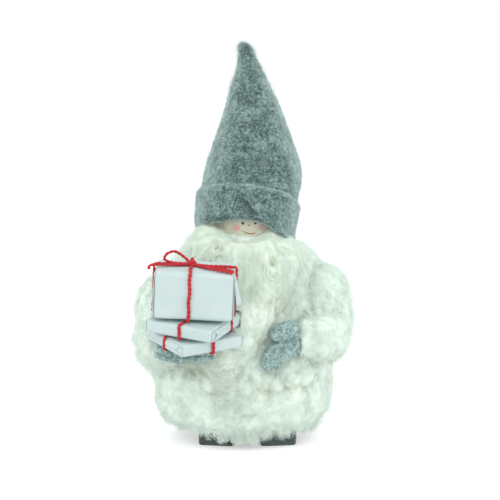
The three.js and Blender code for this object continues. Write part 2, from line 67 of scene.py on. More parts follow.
def add_camera():
    distance, elevation, width = 900.0, math.radians(7), 300.0
    aim = Vector((4.2, AXES_Y, 113.8))
    back = Vector((0, -math.cos(elevation), math.sin(elevation)))
    data = bpy.data.cameras.new("camera")
    data.sensor_width = 36.0
    data.lens = data.sensor_width * distance / width
    camera = add_object("camera", data)
    camera.location = (aim + back * distance) * MM
    camera.rotation_euler = (-back).to_track_quat("-Z", "Y").to_euler()
    bpy.context.scene.camera = camera


def add_sun(name, way, softness, strength):
    """A soft light from one side: way points from the object to the light."""
    data = bpy.data.lights.new(name, "SUN")
    data.angle = math.radians(softness)
    data.energy = strength
    add_object(name, data).rotation_euler = Vector(way).to_track_quat("Z", "Y").to_euler()


def put(tree, value, socket):
    """Sets a socket, or links it to another one. A colour may leave out its alpha."""
    if isinstance(value, bpy.types.NodeSocket):
        tree.links.new(value, socket)
    elif isinstance(value, tuple):
        socket.default_value = (*value, *(1,) * (len(socket.default_value) - len(value)))
    else:
        socket.default_value = value


def add_node(tree, kind, values, **settings):
    """A shader node with its settings, and with values or links for its inputs."""
    node = tree.nodes.new("ShaderNode" + kind)
    for key, value in settings.items():
        setattr(node, key, value)
    for key, value in values.items():
        put(tree, value, node.inputs[key])
    return node


def fresh_tree(owner):
    """The emptied node tree of a world or a material."""
    owner.use_nodes = True
    owner.node_tree.nodes.clear()
    return owner.node_tree


def seen(tree):
    """1 where the camera sees a surface itself, in a mirror or through glass, else 0."""
    path = add_node(tree, "LightPath", {}).outputs
    value = path["Is Camera Ray"]
    for ray in ("Is Glossy Ray", "Is Transmission Ray"):
        value = add_node(tree, "Math", {0: value, 1: path[ray]}, operation="MAXIMUM").outputs[0]
    return value


def add_world(level):
    """Even white light from all round, at that level, and a white background where it is seen."""
    world = bpy.data.worlds.new("studio")
    bpy.context.scene.world = world
    tree = fresh_tree(world)
    light, background = (add_node(tree, "Background", {"Color": (1, 1, 1), "Strength": strength}).outputs[0]
                         for strength in (level, 1.0))
    mix = add_node(tree, "MixShader", {0: seen(tree), 1: light, 2: background})
    add_node(tree, "OutputWorld", {0: mix.outputs[0]})


def add_floor():
    """A plain pale floor that shows white but keeps the object's shadow."""
    mesh = bpy.data.meshes.new("floor")
    half = 12.0
    mesh.from_pydata([(-half, -half, 0), (half, -half, 0), (half, half, 0), (-half, half, 0)], [],
                     [(0, 1, 2, 3)])
    material = bpy.data.materials.new("floor")
    tree = fresh_tree(material)
    card = add_node(tree, "BsdfDiffuse", {"Color": (0.85, 0.85, 0.85)})
    glow = add_node(tree, "Emission", {"Color": (0.4, 0.4, 0.4), "Strength": seen(tree)})
    both = add_node(tree, "AddShader", {0: card.outputs[0], 1: glow.outputs[0]})
    add_node(tree, "OutputMaterial", {0: both.outputs[0]})
    mesh.materials.append(material)
    floor = add_object("floor", mesh)


add_camera()
add_sun("key", (-0.5, -1.0, 0.9), 60, 0.92)
add_sun("fill", (0.9, -0.8, 0.5), 70, 0.48)
add_sun("front", (0.1, -1.0, 0.1), 70, 0.3)
add_sun("back", (0.1, 0.9, 0.8), 60, 0.4)
add_sun("right_edge", (1.0, 0.0, 0.2), 50, 0.6)
add_sun("left_edge", (-1.0, 0.35, 0.3), 50, 0.34)
add_world(0.64)
add_floor()
bpy.context.scene.view_settings.view_transform = "Standard"


# ---- noise ----

def smooth(x):
    """From 0 at 0 to 1 at 1, level at both ends."""
    x = np.clip(x, 0, 1)
    return x * x * (3 - 2 * x)


def scatter(cell, seed):
    """A repeatable random number from 0 to 1 for each whole-number cell."""
    # Large odd factors mix up the cell's three numbers and the seed.
    h = cell[..., 0] * 374761393 + cell[..., 1] * 668265263 + cell[..., 2] * 974634777 + seed * 362437
    h = (h ^ (h >> 13)) & 0x7FFFFFFF
    h = (h * 1274126177) & 0x7FFFFFFF
    h = (h ^ (h >> 16)) & 0xFFFFF
    return h / 0xFFFFF


def noise(points, size, seed):
    """Smooth noise from -1 to 1 with features of the given size."""
    q = points / size
    base = np.floor(q).astype(np.int64)
    f = q - base
    f = f * f * (3 - 2 * f)
    total = np.zeros(points.shape[:-1])
    for corner in np.ndindex(2, 2, 2):
        weight = np.prod(np.where(np.array(corner) == 1, f, 1 - f), axis=-1)
        total += weight * scatter(base + np.array(corner), seed)
    return total * 2 - 1


def tufts(points, size, seed):
    """Round lumps with creases between them, from 0 in a crease to 1 on a crown."""
    q = points / size
    base = np.floor(q).astype(np.int64)
    nearest = np.full(points.shape[:-1], 9.0)
    for shift in np.ndindex(3, 3, 3):
        cell = base + np.array(shift) - 1
        heart = cell + np.stack([scatter(cell, seed + k) for k in range(3)], axis=-1)
        nearest = np.minimum(nearest, np.sum((q - heart) ** 2, axis=-1))
    return np.clip(1 - nearest, 0, 1)


def noises(points, size, seed):
    """Three smooth noises for each point."""
    return np.stack([noise(points, size, seed + k) for k in range(3)], axis=-1)


def drift(points, size, reach, seed):
    """Points carried sideways by smooth noise, for shapes that look less regular."""
    return points + reach * noises(points, size, seed)


def waves(points, *layers, base=0.0):
    """Noise in layers of (height, size, seed), added to a base."""
    for height, size, seed in layers:
        base = base + height * noise(points, size, seed)
    return base


# ---- lines ----

def round_angles(count):
    """The angles of count points that lie evenly round a circle."""
    return np.arange(count) * 2 * math.pi / count


def spline(points, count):
    """A smooth line through points, the same as the source's own."""
    p = np.asarray(points, dtype=float)
    t = np.linspace(0, len(p) - 1, count)
    i = np.minimum(t.astype(int), len(p) - 2)
    w = (t - i)[:, None]
    before, a, b, after = p[np.maximum(i - 1, 0)], p[i], p[i + 1], p[np.minimum(i + 2, len(p) - 1)]
    v, u = (b - before) / 2, (after - a) / 2
    return (2 * a - 2 * b + v + u) * w ** 3 + (-3 * a + 3 * b - 2 * v - u) * w ** 2 + v * w + a


def arc(centre, radius, start, end, count):
    angle = np.radians(np.linspace(start, end, count))
    return np.stack([centre[0] + radius * np.cos(angle), centre[1] + radius * np.sin(angle)], axis=1)


def straight(a, b, count):
    """Points after a up to and with b."""
    share = np.linspace(0, 1, count + 1)[1:, None]
    return np.asarray(a) * (1 - share) + np.asarray(b) * share


def rounded_rectangle(half_width, half_height, corner, steps):
    parts = []
    for quarter, (cx, cy) in enumerate(((1, -1), (1, 1), (-1, 1), (-1, -1))):
        parts.append(arc((cx * (half_width - corner), cy * (half_height - corner)), corner,
                         90 * (quarter - 1), 90 * quarter, steps))
    return np.concatenate(parts)


def gone_along(path):
    """How far along a line each of its points lies."""
    return np.concatenate([[0], np.cumsum(np.linalg.norm(np.diff(path, axis=0), axis=1))])


def cut_at(path, want):
    """The points of a line at the given distances along it."""
    gone = gone_along(path)
    return np.stack([np.interp(want, gone, path[:, k]) for k in range(path.shape[1])], axis=1)


def even_path(path, closed, count=None):
    """A line cut again into equal steps, by default of about the length of YARN_STEP."""
    path = np.concatenate([path, path[:1]]) if closed else path
    length = gone_along(path)[-1]
    count = count or max(8, round(length / YARN_STEP))
    return cut_at(path, np.linspace(0, length, count, endpoint=not closed))


def evened(values, reach):
    """A closed row of values, each averaged with its neighbours up to reach places away."""
    width = 2 * reach + 1
    return np.convolve(np.concatenate([values[-reach:], values, values[:reach]]), np.ones(width) / width,
                       "valid")


def line_distance(points, a, b):
    """How far points lie from the stretch from a to b."""
    a, b = np.asarray(a, dtype=float), np.asarray(b, dtype=float)
    share = np.clip((points - a) @ (b - a) / max(np.sum((b - a) ** 2), 1e-9), 0, 1)
    return np.linalg.norm(points - a - share[..., None] * (b - a), axis=-1)


# ---- meshes ----

def mesh_object(name, points, faces):
    """An object from points in millimetres and from face arrays, each with as many columns as corners."""
    mesh = bpy.data.meshes.new(name)
    faces = [np.asarray(f, dtype=np.int32) for f in faces if len(f)]
    loops = np.concatenate([f.ravel() for f in faces])
    sizes = np.concatenate([np.full(len(f), f.shape[1], dtype=np.int32) for f in faces])
    mesh.vertices.add(len(points))
    mesh.vertices.foreach_set("co", (np.asarray(points) * MM).astype(np.float32).ravel())
    mesh.loops.add(len(loops))
    mesh.loops.foreach_set("vertex_index", loops)
    mesh.polygons.add(len(sizes))
    starts = np.concatenate([[0], np.cumsum(sizes)[:-1]])
    mesh.polygons.foreach_set("loop_start", starts.astype(np.int32))
    mesh.polygons.foreach_set("loop_total", sizes)
    mesh.polygons.foreach_set("use_smooth", np.ones(len(sizes), dtype=bool))
    mesh.update(calc_edges=True)
    mesh.validate()
    return add_object(name, mesh)


def dress(piece, body, slot, material, *nodes):
    """Gives a piece its body, its material and the CAD nodes that it stands for. The record slot is not used.
    """
    piece.data.materials.clear()
    piece.data.materials.append(material)
    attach(piece, body)
    if nodes:
        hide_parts(*nodes)
    return piece


def vectors(piece, kind):
    """One vector for each point of a mesh object."""
    flat = np.empty(len(piece.data.vertices) * 3, dtype=np.float32)
    piece.data.vertices.foreach_get(kind, flat)
    return flat.reshape(-1, 3).astype(float)


def places(piece):
    """The points of a mesh object in millimetres."""
    return vectors(piece, "co") / MM


def set_places(piece, points):
    piece.data.vertices.foreach_set("co", (points * MM).astype(np.float32).ravel())
    piece.data.update()


def normals(piece):
    return unit(vectors(piece, "normal"))


def numbers(parts, width):
    """The point numbers of a mesh's triangles or edges."""
    flat = np.empty(len(parts) * width, dtype=np.int32)
    parts.foreach_get("vertices", flat)
    return flat.reshape(-1, width)


def corners(piece):
    """The triangles of a mesh object, as point numbers."""
    piece.data.calc_loop_triangles()
    return numbers(piece.data.loop_triangles, 3)


def surface_of(piece):
    return places(piece), corners(piece)


def merged(surfaces):
    """One surface from several, each given as its points and triangles."""
    points, faces, count = [], [], 0
    for at, triangles in surfaces:
        points.append(at)
        faces.append(triangles + count)
        count += len(at)
    return np.concatenate(points), np.concatenate(faces)


def turned_by(matrix, points):
    """Points in a group's own axes, placed in the figure."""
    m = np.array(matrix)
    return points @ m[:3, :3].T + m[:3, 3]


def surface_of_nodes(*names):
    """The points and triangles of CAD nodes at rest, in millimetres."""
    nodes = [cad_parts[name] for name in names]
    return merged((turned_by(node.matrix_world, places(node) * MM) / MM, corners(node)) for node in nodes)


def tree_from(*surfaces):
    """One search tree over several surfaces."""
    points, faces = merged(surfaces)
    return BVHTree.FromPolygons(points.tolist(), faces.tolist())


def grid_faces(rows, columns, looped=True):
    """Quads between rows of points. A looped grid closes round its columns."""
    low = np.arange(rows - 1)[:, None] * columns
    c = np.arange(columns if looped else columns - 1)[None, :]
    right = (c + 1) % columns
    high = low + columns
    return np.stack([low + c, low + right, high + right, high + c], axis=-1).reshape(-1, 4)


def turned_faces(rows, columns):
    """Faces of a grid whose first and last rows are closed by fans to two extra points."""
    ring = np.arange(columns)
    nxt = (ring + 1) % columns
    low = np.stack([np.full(columns, rows * columns), nxt, ring], axis=-1)
    last = (rows - 1) * columns
    high = np.stack([np.full(columns, rows * columns + 1), last + ring, last + nxt], axis=-1)
    return [grid_faces(rows, columns), np.concatenate([low, high])]


def hairs(name, lines, radius, sides=3):
    """Closed hairs along lines, which is (count, steps, 3). radius holds one for each step, or is that of
    the root, and then the hairs taper to half of it. Three-sided hairs are shaded flat."""
    count, steps, _ = lines.shape
    if np.ndim(radius) == 0:
        radius = radius * np.linspace(1, 0.5, steps)
    along = unit(np.gradient(lines, axis=1))
    across = unit(np.cross(along, unit(rng.normal(size=(count, 1, 3)))))
    up = np.cross(along, across)
    turn = round_angles(sides)
    rings = lines[:, :, None] + radius[:, None, None] * (
        np.cos(turn)[:, None] * across[:, :, None] + np.sin(turn)[:, None] * up[:, :, None])
    start = np.arange(count)[:, None, None] * steps * sides
    ends = np.stack([np.arange(sides)[::-1], np.arange(sides) + (steps - 1) * sides])
    wool = mesh_object(name, rings.reshape(-1, 3), [(grid_faces(steps, sides)[None] + start).reshape(-1, 4),
                                                    (ends[None] + start).reshape(-1, sides)])
    if sides == 3:
        wool.data.polygons.foreach_set("use_smooth", np.zeros(len(wool.data.polygons), dtype=bool))
    return wool


def spread(points, triangles, count, weight=None):
    """Random places on a surface: (places, numbers of their triangles)."""
    a, b, c = (points[triangles[:, k]] for k in range(3))
    area = np.linalg.norm(np.cross(b - a, c - a), axis=1)
    if weight is not None:
        area = area * weight
    chosen = rng.choice(len(triangles), count, p=area / area.sum())
    u, v = rng.random((2, count, 1))
    flip = (u + v) > 1
    u, v = np.where(flip, 1 - u, u), np.where(flip, 1 - v, v)
    return a[chosen] * (1 - u - v) + b[chosen] * u + c[chosen] * v, chosen


def tangents(normal, lean):
    """The part of each lean that lies along the surface, at length one."""
    return unit(lean - normal * np.sum(lean * normal, axis=-1, keepdims=True))


def soften(piece, share, repeat):
    """Moves each point part of the way to the middle of its neighbours, some times over."""
    a, b = numbers(piece.data.edges, 2).T
    at = places(piece)
    near = np.bincount(np.concatenate([a, b]), minlength=len(at))[:, None]
    for _ in range(repeat):
        total = np.stack([np.bincount(a, at[b, k], len(at)) + np.bincount(b, at[a, k], len(at))
                          for k in range(3)], axis=1)
        at += share * (total / np.maximum(near, 1) - at)
    set_places(piece, at)


# ---- materials ----

class Finish:
    """A Principled material that is built up from nodes. Coordinates are the piece's own, in metres."""

    def __init__(self, name, roughness, **sockets):
        self.material = bpy.data.materials.new(name)
        self.material.use_nodes = True
        self.tree = self.material.node_tree
        self.shader = self.tree.nodes["Principled BSDF"].inputs
        self.rough(roughness)
        for key, value in sockets.items():
            self.shader[key.replace("_", " ")].default_value = value
        self.place = add_node(self.tree, "TexCoord", {}).outputs["Object"]

    def math(self, kind, *values):
        return add_node(self.tree, "Math", dict(enumerate(values)), operation=kind).outputs[0]

    def plus(self, part, share, base):
        """The base and a share of the other part."""
        return self.math("MULTIPLY_ADD", part, share, base)

    def noise(self, size, detail=2.0, rough=0.5, stretch=None, warp=0.0):
        """Noise from 0 to 1 whose features are size millimetres across."""
        at = self.place
        if stretch:
            at = add_node(self.tree, "Mapping", {0: at, "Scale": stretch}).outputs[0]
        return add_node(self.tree, "TexNoise", {"Vector": at, "Scale": 1 / (size * MM), "Detail": detail,
                                                "Roughness": rough, "Distortion": warp}).outputs["Fac"]

    def attribute(self, name):
        return add_node(self.tree, "Attribute", {}, attribute_name=name).outputs["Fac"]

    def ramp(self, factor, *stops):
        """Colours or greys along a factor: (position, colour) pairs."""
        node = add_node(self.tree, "ValToRGB", {0: factor})
        elements = node.color_ramp.elements
        while len(elements) < len(stops):
            elements.new(0.5)
        for element, (position, colour) in zip(elements, stops):
            element.position = position
            element.color = (*(colour if isinstance(colour, tuple) else (colour,) * 3), 1)
        return node.outputs[0]

    def mix(self, factor, a, b):
        return add_node(self.tree, "Mix", {0: factor, 6: a, 7: b}, data_type="RGBA").outputs[2]

    def spot(self, centre, inner, outer):
        """1 within inner millimetres of a point, fading to 0 at outer."""
        gap = add_node(self.tree, "VectorMath", {0: self.place, 1: tuple(float(v) * MM for v in centre)},
                       operation="DISTANCE").outputs["Value"]
        return add_node(self.tree, "MapRange", {0: gap, 1: inner * MM, 2: outer * MM, 3: 1.0, 4: 0.0},
                        interpolation_type="SMOOTHSTEP").outputs[0]

    def turned_away(self, most):
        """0 where a surface faces the viewer, rising to most where it turns away."""
        node = add_node(self.tree, "LayerWeight", {"Blend": 0.5})
        return self.ramp(node.outputs["Facing"], (0.2, 0.0), (0.9, float(most)))

    def colour(self, value):
        put(self.tree, value, self.shader["Base Color"])

    def rough(self, value):
        put(self.tree, value, self.shader["Roughness"])

    def bump(self, height, depth):
        """Bump from a height of 0 to 1 that stands depth millimetres high."""
        bump = add_node(self.tree, "Bump", {"Distance": depth * MM, "Height": height})
        put(self.tree, bump.outputs[0], self.shader["Normal"])


def wool_finish(name, crown, crease, fine):
    """Fleece with painted shade: darker and warmer in its creases and at the roots of its hairs, where its
    crown attribute is low, and paler at their tips.
    """
    wool = Finish(name, 0.9, Sheen_Weight=0.6, Sheen_Roughness=0.5)
    patch = wool.noise(16, 2.0)
    streak = wool.noise(fine, 3.0, 0.6)
    depth = wool.plus(patch, 0.4, wool.attribute("crown"))
    depth = wool.plus(streak, 0.3, depth)
    # The crease colour is painted shade. It is mixed in where the crown attribute is low.
    wool.colour(wool.ramp(wool.math("SUBTRACT", depth, 0.35), (0.05, crease), (0.6, crown)))
    wool.bump(wool.noise(fine * 0.6, 4.0, 0.7), 0.18)
    return wool.material


def felt_finish(name, dark, middle, pale, rim=0.0):
    """Wool felt of pale and dark fibres pressed together. It is paler along a cut edge, and by the share rim
    it has a painted sheen, paler where its surface turns away from the viewer. Shade is painted darker into
    its pinched creases."""
    felt = Finish(name, 0.95, Sheen_Weight=1.0, Sheen_Roughness=0.3, Sheen_Tint=(0.8, 1.0, 0.97, 1))
    fleck = felt.noise(1.7, 4.0, 0.7, warp=0.4)
    blend = felt.plus(felt.noise(0.6, 2.0, 0.6), 0.5, fleck)
    blend = felt.plus(felt.noise(6, 3.0, 0.6), 0.5, blend)
    blend = felt.math("SUBTRACT", blend, 0.5)
    tone = felt.ramp(blend, (0.34, dark), (0.5, middle), (0.68, pale))
    edge = felt.math("MULTIPLY", felt.attribute("edge"), felt.ramp(fleck, (0.3, 0.75), (0.6, 1.0)))
    tone = felt.mix(edge, tone, pale)
    # rim mixes in a painted sheen: a paler colour where the surface turns away from the viewer.
    if rim:
        painted_sheen = felt.ramp(blend, (0.34, (0.2, 0.3, 0.285)), (0.66, (0.66, 0.86, 0.83)))
        tone = felt.mix(felt.turned_away(rim), tone, painted_sheen)
    # Painted shade: the felt is darkened in its pinched creases.
    felt.colour(felt.mix(felt.math("MULTIPLY", felt.attribute("pinch"), 0.85), tone, dark))
    felt.bump(felt.noise(0.8, 5.0, 0.8, warp=0.8), 0.35)
    return felt.material


def paper_finish():
    paper = Finish("white_paper", 0.55, Specular_IOR_Level=0.35)
    shade = paper.noise(14, 3.0, 0.6)
    fibre = paper.noise(0.5, 3.0, 0.7, stretch=(1, 1, 0.2))
    tone = paper.plus(fibre, 0.2, shade)
    paper.colour(paper.ramp(tone, (0.35, (0.555, 0.69, 0.685)), (0.8, (0.625, 0.745, 0.735))))
    paper.rough(paper.ramp(shade, (0.3, 0.48), (0.7, 0.62)))
    paper.bump(paper.noise(5, 4.0, 0.6), 0.25)
    return paper.material


def yarn_finish():
    yarn = Finish("red_yarn", 0.85, Sheen_Weight=0.12, Sheen_Roughness=0.4, Sheen_Tint=(0.9, 0.2, 0.2, 1))
    fibre = yarn.noise(0.35, 3.0, 0.7, warp=1.0)
    length = yarn.noise(6, 2.0)
    tone = yarn.plus(length, 0.4, fibre)
    yarn.colour(yarn.ramp(tone, (0.4, (0.3, 0.006, 0.014)), (0.62, (0.52, 0.014, 0.026)),
                          (0.9, (0.66, 0.05, 0.06))))
    yarn.bump(fibre, 0.2)
    return yarn.material


def wood_finish(name, pale, dark, ring, roughness):
    """Bare wood with its grain upright."""
    wood = Finish(name, roughness)
    grain = wood.noise(ring, 4.0, 0.6, stretch=(1, 1, 0.07), warp=0.6)
    pore = wood.noise(0.5, 2.0, 0.6, stretch=(1, 1, 0.08))
    wood.colour(wood.ramp(wood.plus(pore, 0.3, grain), (0.4, dark), (0.85, pale)))
    wood.bump(pore, 0.12)
    return wood.material


def grained_finish(name, roughness, grain, dark, pale, bump=0.0, gloss=(), **sockets):
    """A material whose one grain sets its colour, and its bump or its roughness. dark, pale and both parts of
    gloss are stops along the grain."""
    finish = Finish(name, roughness, **sockets)
    grain = finish.noise(*grain)
    finish.colour(finish.ramp(grain, dark, pale))
    if gloss:
        finish.rough(finish.ramp(grain, *gloss))
    if bump:
        finish.bump(grain, bump)
    return finish.material


def foot_finish():
    """Thin dark paint on wood, rubbed paler along the edges."""
    paint = Finish("dark_paint", 0.6, Specular_IOR_Level=0.35)
    brush = paint.noise(2.2, 4.0, 0.65, stretch=(0.25, 1, 1))
    cloud = paint.noise(12, 2.0)
    tone = paint.plus(cloud, 0.5, brush)
    body = paint.ramp(tone, (0.45, (0.04, 0.062, 0.062)), (0.95, (0.085, 0.115, 0.115)))
    bare = paint.ramp(paint.noise(1.6, 3.0, 0.7), (0.45, 0.0), (0.6, 1.0))
    paint.colour(paint.mix(paint.math("MULTIPLY", paint.attribute("edge"), bare), body, (0.26, 0.25, 0.22)))
    paint.rough(paint.ramp(cloud, (0.3, 0.5), (0.7, 0.68)))
    paint.bump(brush, 0.12)
    return paint.material


coat_wool = wool_finish("sheepskin", (0.88, 0.99, 0.91), (0.5, 0.575, 0.43), 1.1)
beard_wool = wool_finish("beard_fleece", (0.86, 0.965, 0.865), (0.49, 0.56, 0.415), 0.8)
hat_felt = felt_finish("hat_felt", (0.03, 0.059, 0.056), (0.095, 0.165, 0.156), (0.275, 0.41, 0.39), 0.75)
felt_fibre = felt_finish("felt_fibre", (0.17, 0.26, 0.25), (0.38, 0.52, 0.5), (0.62, 0.78, 0.75))
felt_fuzz = felt_finish("felt_fuzz", (0.36, 0.5, 0.48), (0.55, 0.72, 0.69), (0.8, 0.93, 0.9))
mitten_felt = felt_finish("mitten_felt", (0.14, 0.22, 0.21), (0.31, 0.455, 0.435), (0.55, 0.71, 0.685))
white_paper = paper_finish()
red_yarn = yarn_finish()
body_wood = wood_finish("turned_wood", (0.66, 0.5, 0.32), (0.46, 0.31, 0.17), 6, 0.6)
drawn_wire = grained_finish("drawn_wire", 0.32, (0.6, 3.0, 0.6, (0.1, 1, 1)), (0.3, (0.42, 0.43, 0.44)),
                            (0.7, (0.62, 0.63, 0.65)), gloss=((0.3, 0.24), (0.7, 0.42)), Metallic=1.0)
plain_board = grained_finish("plain_board", 0.9, (0.8, 4.0, 0.7, (0.3, 1, 1)), (0.3, (0.42, 0.33, 0.23)),
                             (0.75, (0.62, 0.51, 0.38)), bump=0.15)
eye_paint = grained_finish("dark_eye_paint", 0.4, (0.8, 3.0, 0.6), (0.3, (0.012, 0.012, 0.014)),
                           (0.8, (0.03, 0.03, 0.035)), bump=0.05)
lip_paint = grained_finish("red_lip_paint", 0.4, (0.8, 3.0, 0.6), (0.3, (0.38, 0.05, 0.05)),
                           (0.8, (0.5, 0.09, 0.08)), bump=0.05)
dark_paint = foot_finish()


def add_attribute(piece, name, values):
    layer = piece.data.attributes.new(name, "FLOAT", "POINT")
    layer.data.foreach_set("value", np.asarray(values, dtype=np.float32))


for node_names, finish in ((("body_block", "neck_dowel", "right_leg_dowel", "left_leg_dowel"), body_wood),
                           (("shoulder_wire", "right_arm_wire", "left_arm_wire"), drawn_wire),
                           (("bottom_parcel_block", "middle_parcel_block", "top_parcel_block"), plain_board)):
    for node_name in node_names:
        for material_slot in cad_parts[node_name].material_slots:
            material_slot.material = finish


# ---- hat ----

HAT_LEAN = np.array(Matrix.Rotation(math.radians(-21), 3, "X") @ Matrix.Rotation(math.radians(9), 3, "Y"))
HAT_HEIGHT = 114.0
HAT_FELT = 2.0
TIP_RADIUS = 5.4
BEND_FROM, BEND = 30, np.array([-17.2, -11.0, 0.0])      # the lean grows from this height up to the tip
RIM_BELOW_HEAD = 10.0
CUFF_HEIGHT = 21.0
HAT_FIBRES = 9900      # in each of three layers, which keeps each under 200,000 triangles
# How far the rim and the cuff's upper edge sag, in millimetres, by the angle round the hat (-90 is the front)
RIM_SAG = [(-180, 1.8), (-150, 3.8), (-125, 4.4), (-110, 2.6), (-90, 0.4), (-62, 0.2), (-46, 2.6), (-28, 6.2),
           (-10, 6.0), (15, 3.4), (60, 0.8), (120, 0.2)]
CUFF_SAG = [(-180, 1.0), (-135, 2.4), (-110, 1.6), (-80, 0.3), (-50, 0.2), (-20, 1.2), (30, 0.6), (100, 0.0)]
# Where the felt is pinched in: both ends of a crease, its depth and its half width
PINCHES = [((1.27, 8.04, 175.07), (1.27, 8.04, 175.07), 1.3, 1.5),
           ((0.2, -7.5, 147), (7.7, -10, 138.5), 0.7, 0.8)]


def hat_place(local):
    """From the hat's own axes, with heights from its rim, to the figure."""
    along = np.maximum(0, local[..., 2] - BEND_FROM) / (HAT_HEIGHT - BEND_FROM)
    bent = local + along[..., None] ** 2 * BEND - np.array([0, 0, RIM_BELOW_HEAD])
    return bent @ HAT_LEAN.T + HEAD


def hat_profile():
    """The felt as (radius, height): from the tip down and round the cuff, and up its inside."""
    tip, hidden = HAT_HEIGHT - TIP_RADIUS, CUFF_HEIGHT - 9      # the cuff hides the cone below that
    cone = spline([(28.4, 0), (27.2, 41), (15.8, 79), (7.4, 101), (TIP_RADIUS, tip)], 200)
    shown = cone[cone[:, 1] > hidden][::-2]
    outer = [arc((0, tip), TIP_RADIUS, 86, 8, 9), shown, straight(shown[-1], (28.5, hidden), 2),
             straight((28.9, hidden), (29.0, CUFF_HEIGHT - 1), 9),
             arc((30.0, CUFF_HEIGHT - 1), 1.0, 150, 10, 5),
             straight((30.95, CUFF_HEIGHT - 2), (30.9, 2.4), 24), arc((28.7, 2.2), 2.2, -8, -98, 6),
             straight((28.0, 0), (26.6, 0.6), 2)]
    return np.concatenate(outer), np.concatenate([cone[4::6] - (HAT_FELT, 0),
                                                  arc((0, HAT_HEIGHT - 6.4), 3.4, 8, 80, 4)])


def make_hat():
    """The hat, and how many of its points, which come first, lie on its outside."""
    outer, inner = hat_profile()
    profile = np.concatenate([outer, inner])
    columns, rows = 260, len(profile)
    angle = round_angles(columns)
    local = np.stack(np.broadcast_arrays(profile[:, :1] * np.cos(angle), profile[:, :1] * np.sin(angle),
                                         profile[:, 1:]), axis=-1)
    # The rim arches over the face and hangs lower on both sides of it. The cuff's upper edge sags too.
    degrees = np.degrees(angle + math.pi) % 360 - 180
    rim_sag, cuff_sag = (evened(np.interp(degrees, *np.array(line).T, period=360), 9)
                         for line in (RIM_SAG, CUFF_SAG))
    low = np.clip(1 - local[..., 2] / CUFF_HEIGHT, 0, 1)
    cuff = (profile[:, 0] > 28.6) & (profile[:, 1] < CUFF_HEIGHT + 1)
    local[..., 2] -= low * rim_sag + np.where(cuff[:, None], (1 - low) * cuff_sag, 0)
    local[..., 0] += 2.2 * low * np.clip(-np.cos(angle), 0, 1) ** 3
    cuff &= profile[:, 1] > 2
    flare = 1 + 0.012 * np.sin(2 * angle + 0.5) + 0.008 * np.sin(5 * angle)
    local[cuff, :, :2] *= flare[:, None]
    points = np.concatenate([local.reshape(-1, 3), [(0, 0, HAT_HEIGHT), (0, 0, HAT_HEIGHT - 3)]])
    hat = mesh_object("felt_hat", hat_place(points), turned_faces(rows, columns))
    hat.data.flip_normals()
    at, out = places(hat), normals(hat)
    x, _, z = at.T
    swell = np.exp(-((z - 160) / 15) ** 2) * smooth((x - 14) / 18)
    lift = waves(at, (0.45, 16, 1), (0.25, 7, 2), (0.18, 2.4, 3), (0.12, 1.0, 4), base=2.2 * swell)
    # Shade is painted into the pinched creases: this mask darkens the felt there.
    pinch = np.zeros(len(at))
    for start, end, depth, reach in PINCHES:
        fold = np.exp(-(line_distance(at, start, end) / reach) ** 2)
        lift -= depth * fold
        pinch = np.maximum(pinch, fold)
    set_places(hat, at + out * lift[:, None])
    add_attribute(hat, "pinch", pinch)
    cut = np.hypot(profile[:, 0] - 30, profile[:, 1] - CUFF_HEIGHT + 0.5)
    add_attribute(hat, "edge", np.append(np.repeat(np.exp(-(cut / 1.2) ** 2), columns), (0, 0)))
    return hat, len(outer) * columns


def fuzz(name, piece, count, length, thick, stand, outside=None):
    """Short stray fibres that lie almost flat on a piece, or only on that many of its first points."""
    at, faces = places(piece), corners(piece)
    if outside:
        faces = faces[(faces < outside).all(axis=1)]
    root, chosen = spread(at, faces, count)
    out = normals(piece)[faces[chosen, 0]]
    lean = tangents(out, rng.normal(size=out.shape))
    side = np.cross(out, lean)
    long = length * rng.uniform(0.5, 1.0, (count, 1, 1))
    steps = 4
    t = np.linspace(0, 1, steps)[None, :, None]
    bend = rng.normal(0, 0.35, (count, 1, 1))
    rise = stand * rng.uniform(0.2, 1.0, (count, 1, 1))
    lines = root[:, None] + long * (t * lean[:, None] + bend * t ** 2 * side[:, None]
                                    + rise * np.sin(t * 2.2) * out[:, None]) - 0.1 * out[:, None]
    if outside:
        gaps = [line_distance(lines, start, end).min(axis=1) / reach for start, end, _, reach in PINCHES]
        lines = lines[np.min(gaps, axis=0) > 0.9]
    return hairs(name, lines, thick)


hat, outside = make_hat()
dress(hat, "hat_cap", "hat_felt", hat_felt, "hat")
for name, length, thick, stand, finish in (("felt_hat_fibres", 2.4, 0.055, 0.6, felt_fibre),
                                           ("felt_hat_fuzz", 1.5, 0.045, 1.2, felt_fuzz),
                                           ("felt_hat_down", 1.5, 0.045, 1.6, felt_fuzz)):
    dress(fuzz(name, hat, HAT_FIBRES, length, thick, stand, outside), "hat_cap", "hat_felt", finish)


# ---- head ----

def make_head():
    rows, columns = 90, 140
    tilt = np.radians(np.linspace(-88.5, 88.5, rows))[:, None]
    turn = round_angles(columns)[None]
    ball = np.stack(np.broadcast_arrays(np.cos(tilt) * np.cos(turn), np.cos(tilt) * np.sin(turn),
                                        np.sin(tilt)), axis=-1)
    points = np.concatenate([ball.reshape(-1, 3), [(0, 0, -1), (0, 0, 1)]]) * HEAD_RADIUS + HEAD
    return mesh_object("wooden_head", points, turned_faces(rows, columns))


def on_face(x, z, lift=0.0):
    """A point on the front of the head, x and z millimetres from its middle."""
    radius = HEAD_RADIUS + lift
    return HEAD + np.array([x, -math.sqrt(radius ** 2 - x * x - z * z), z])


# The rings of a dab of paint: its share of the width, and how high it stands over the wood
DAB_RINGS = ((0.35, 0.13), (0.7, 0.1), (0.95, 0.05), (1.0, -0.02), (0.9, -0.15))


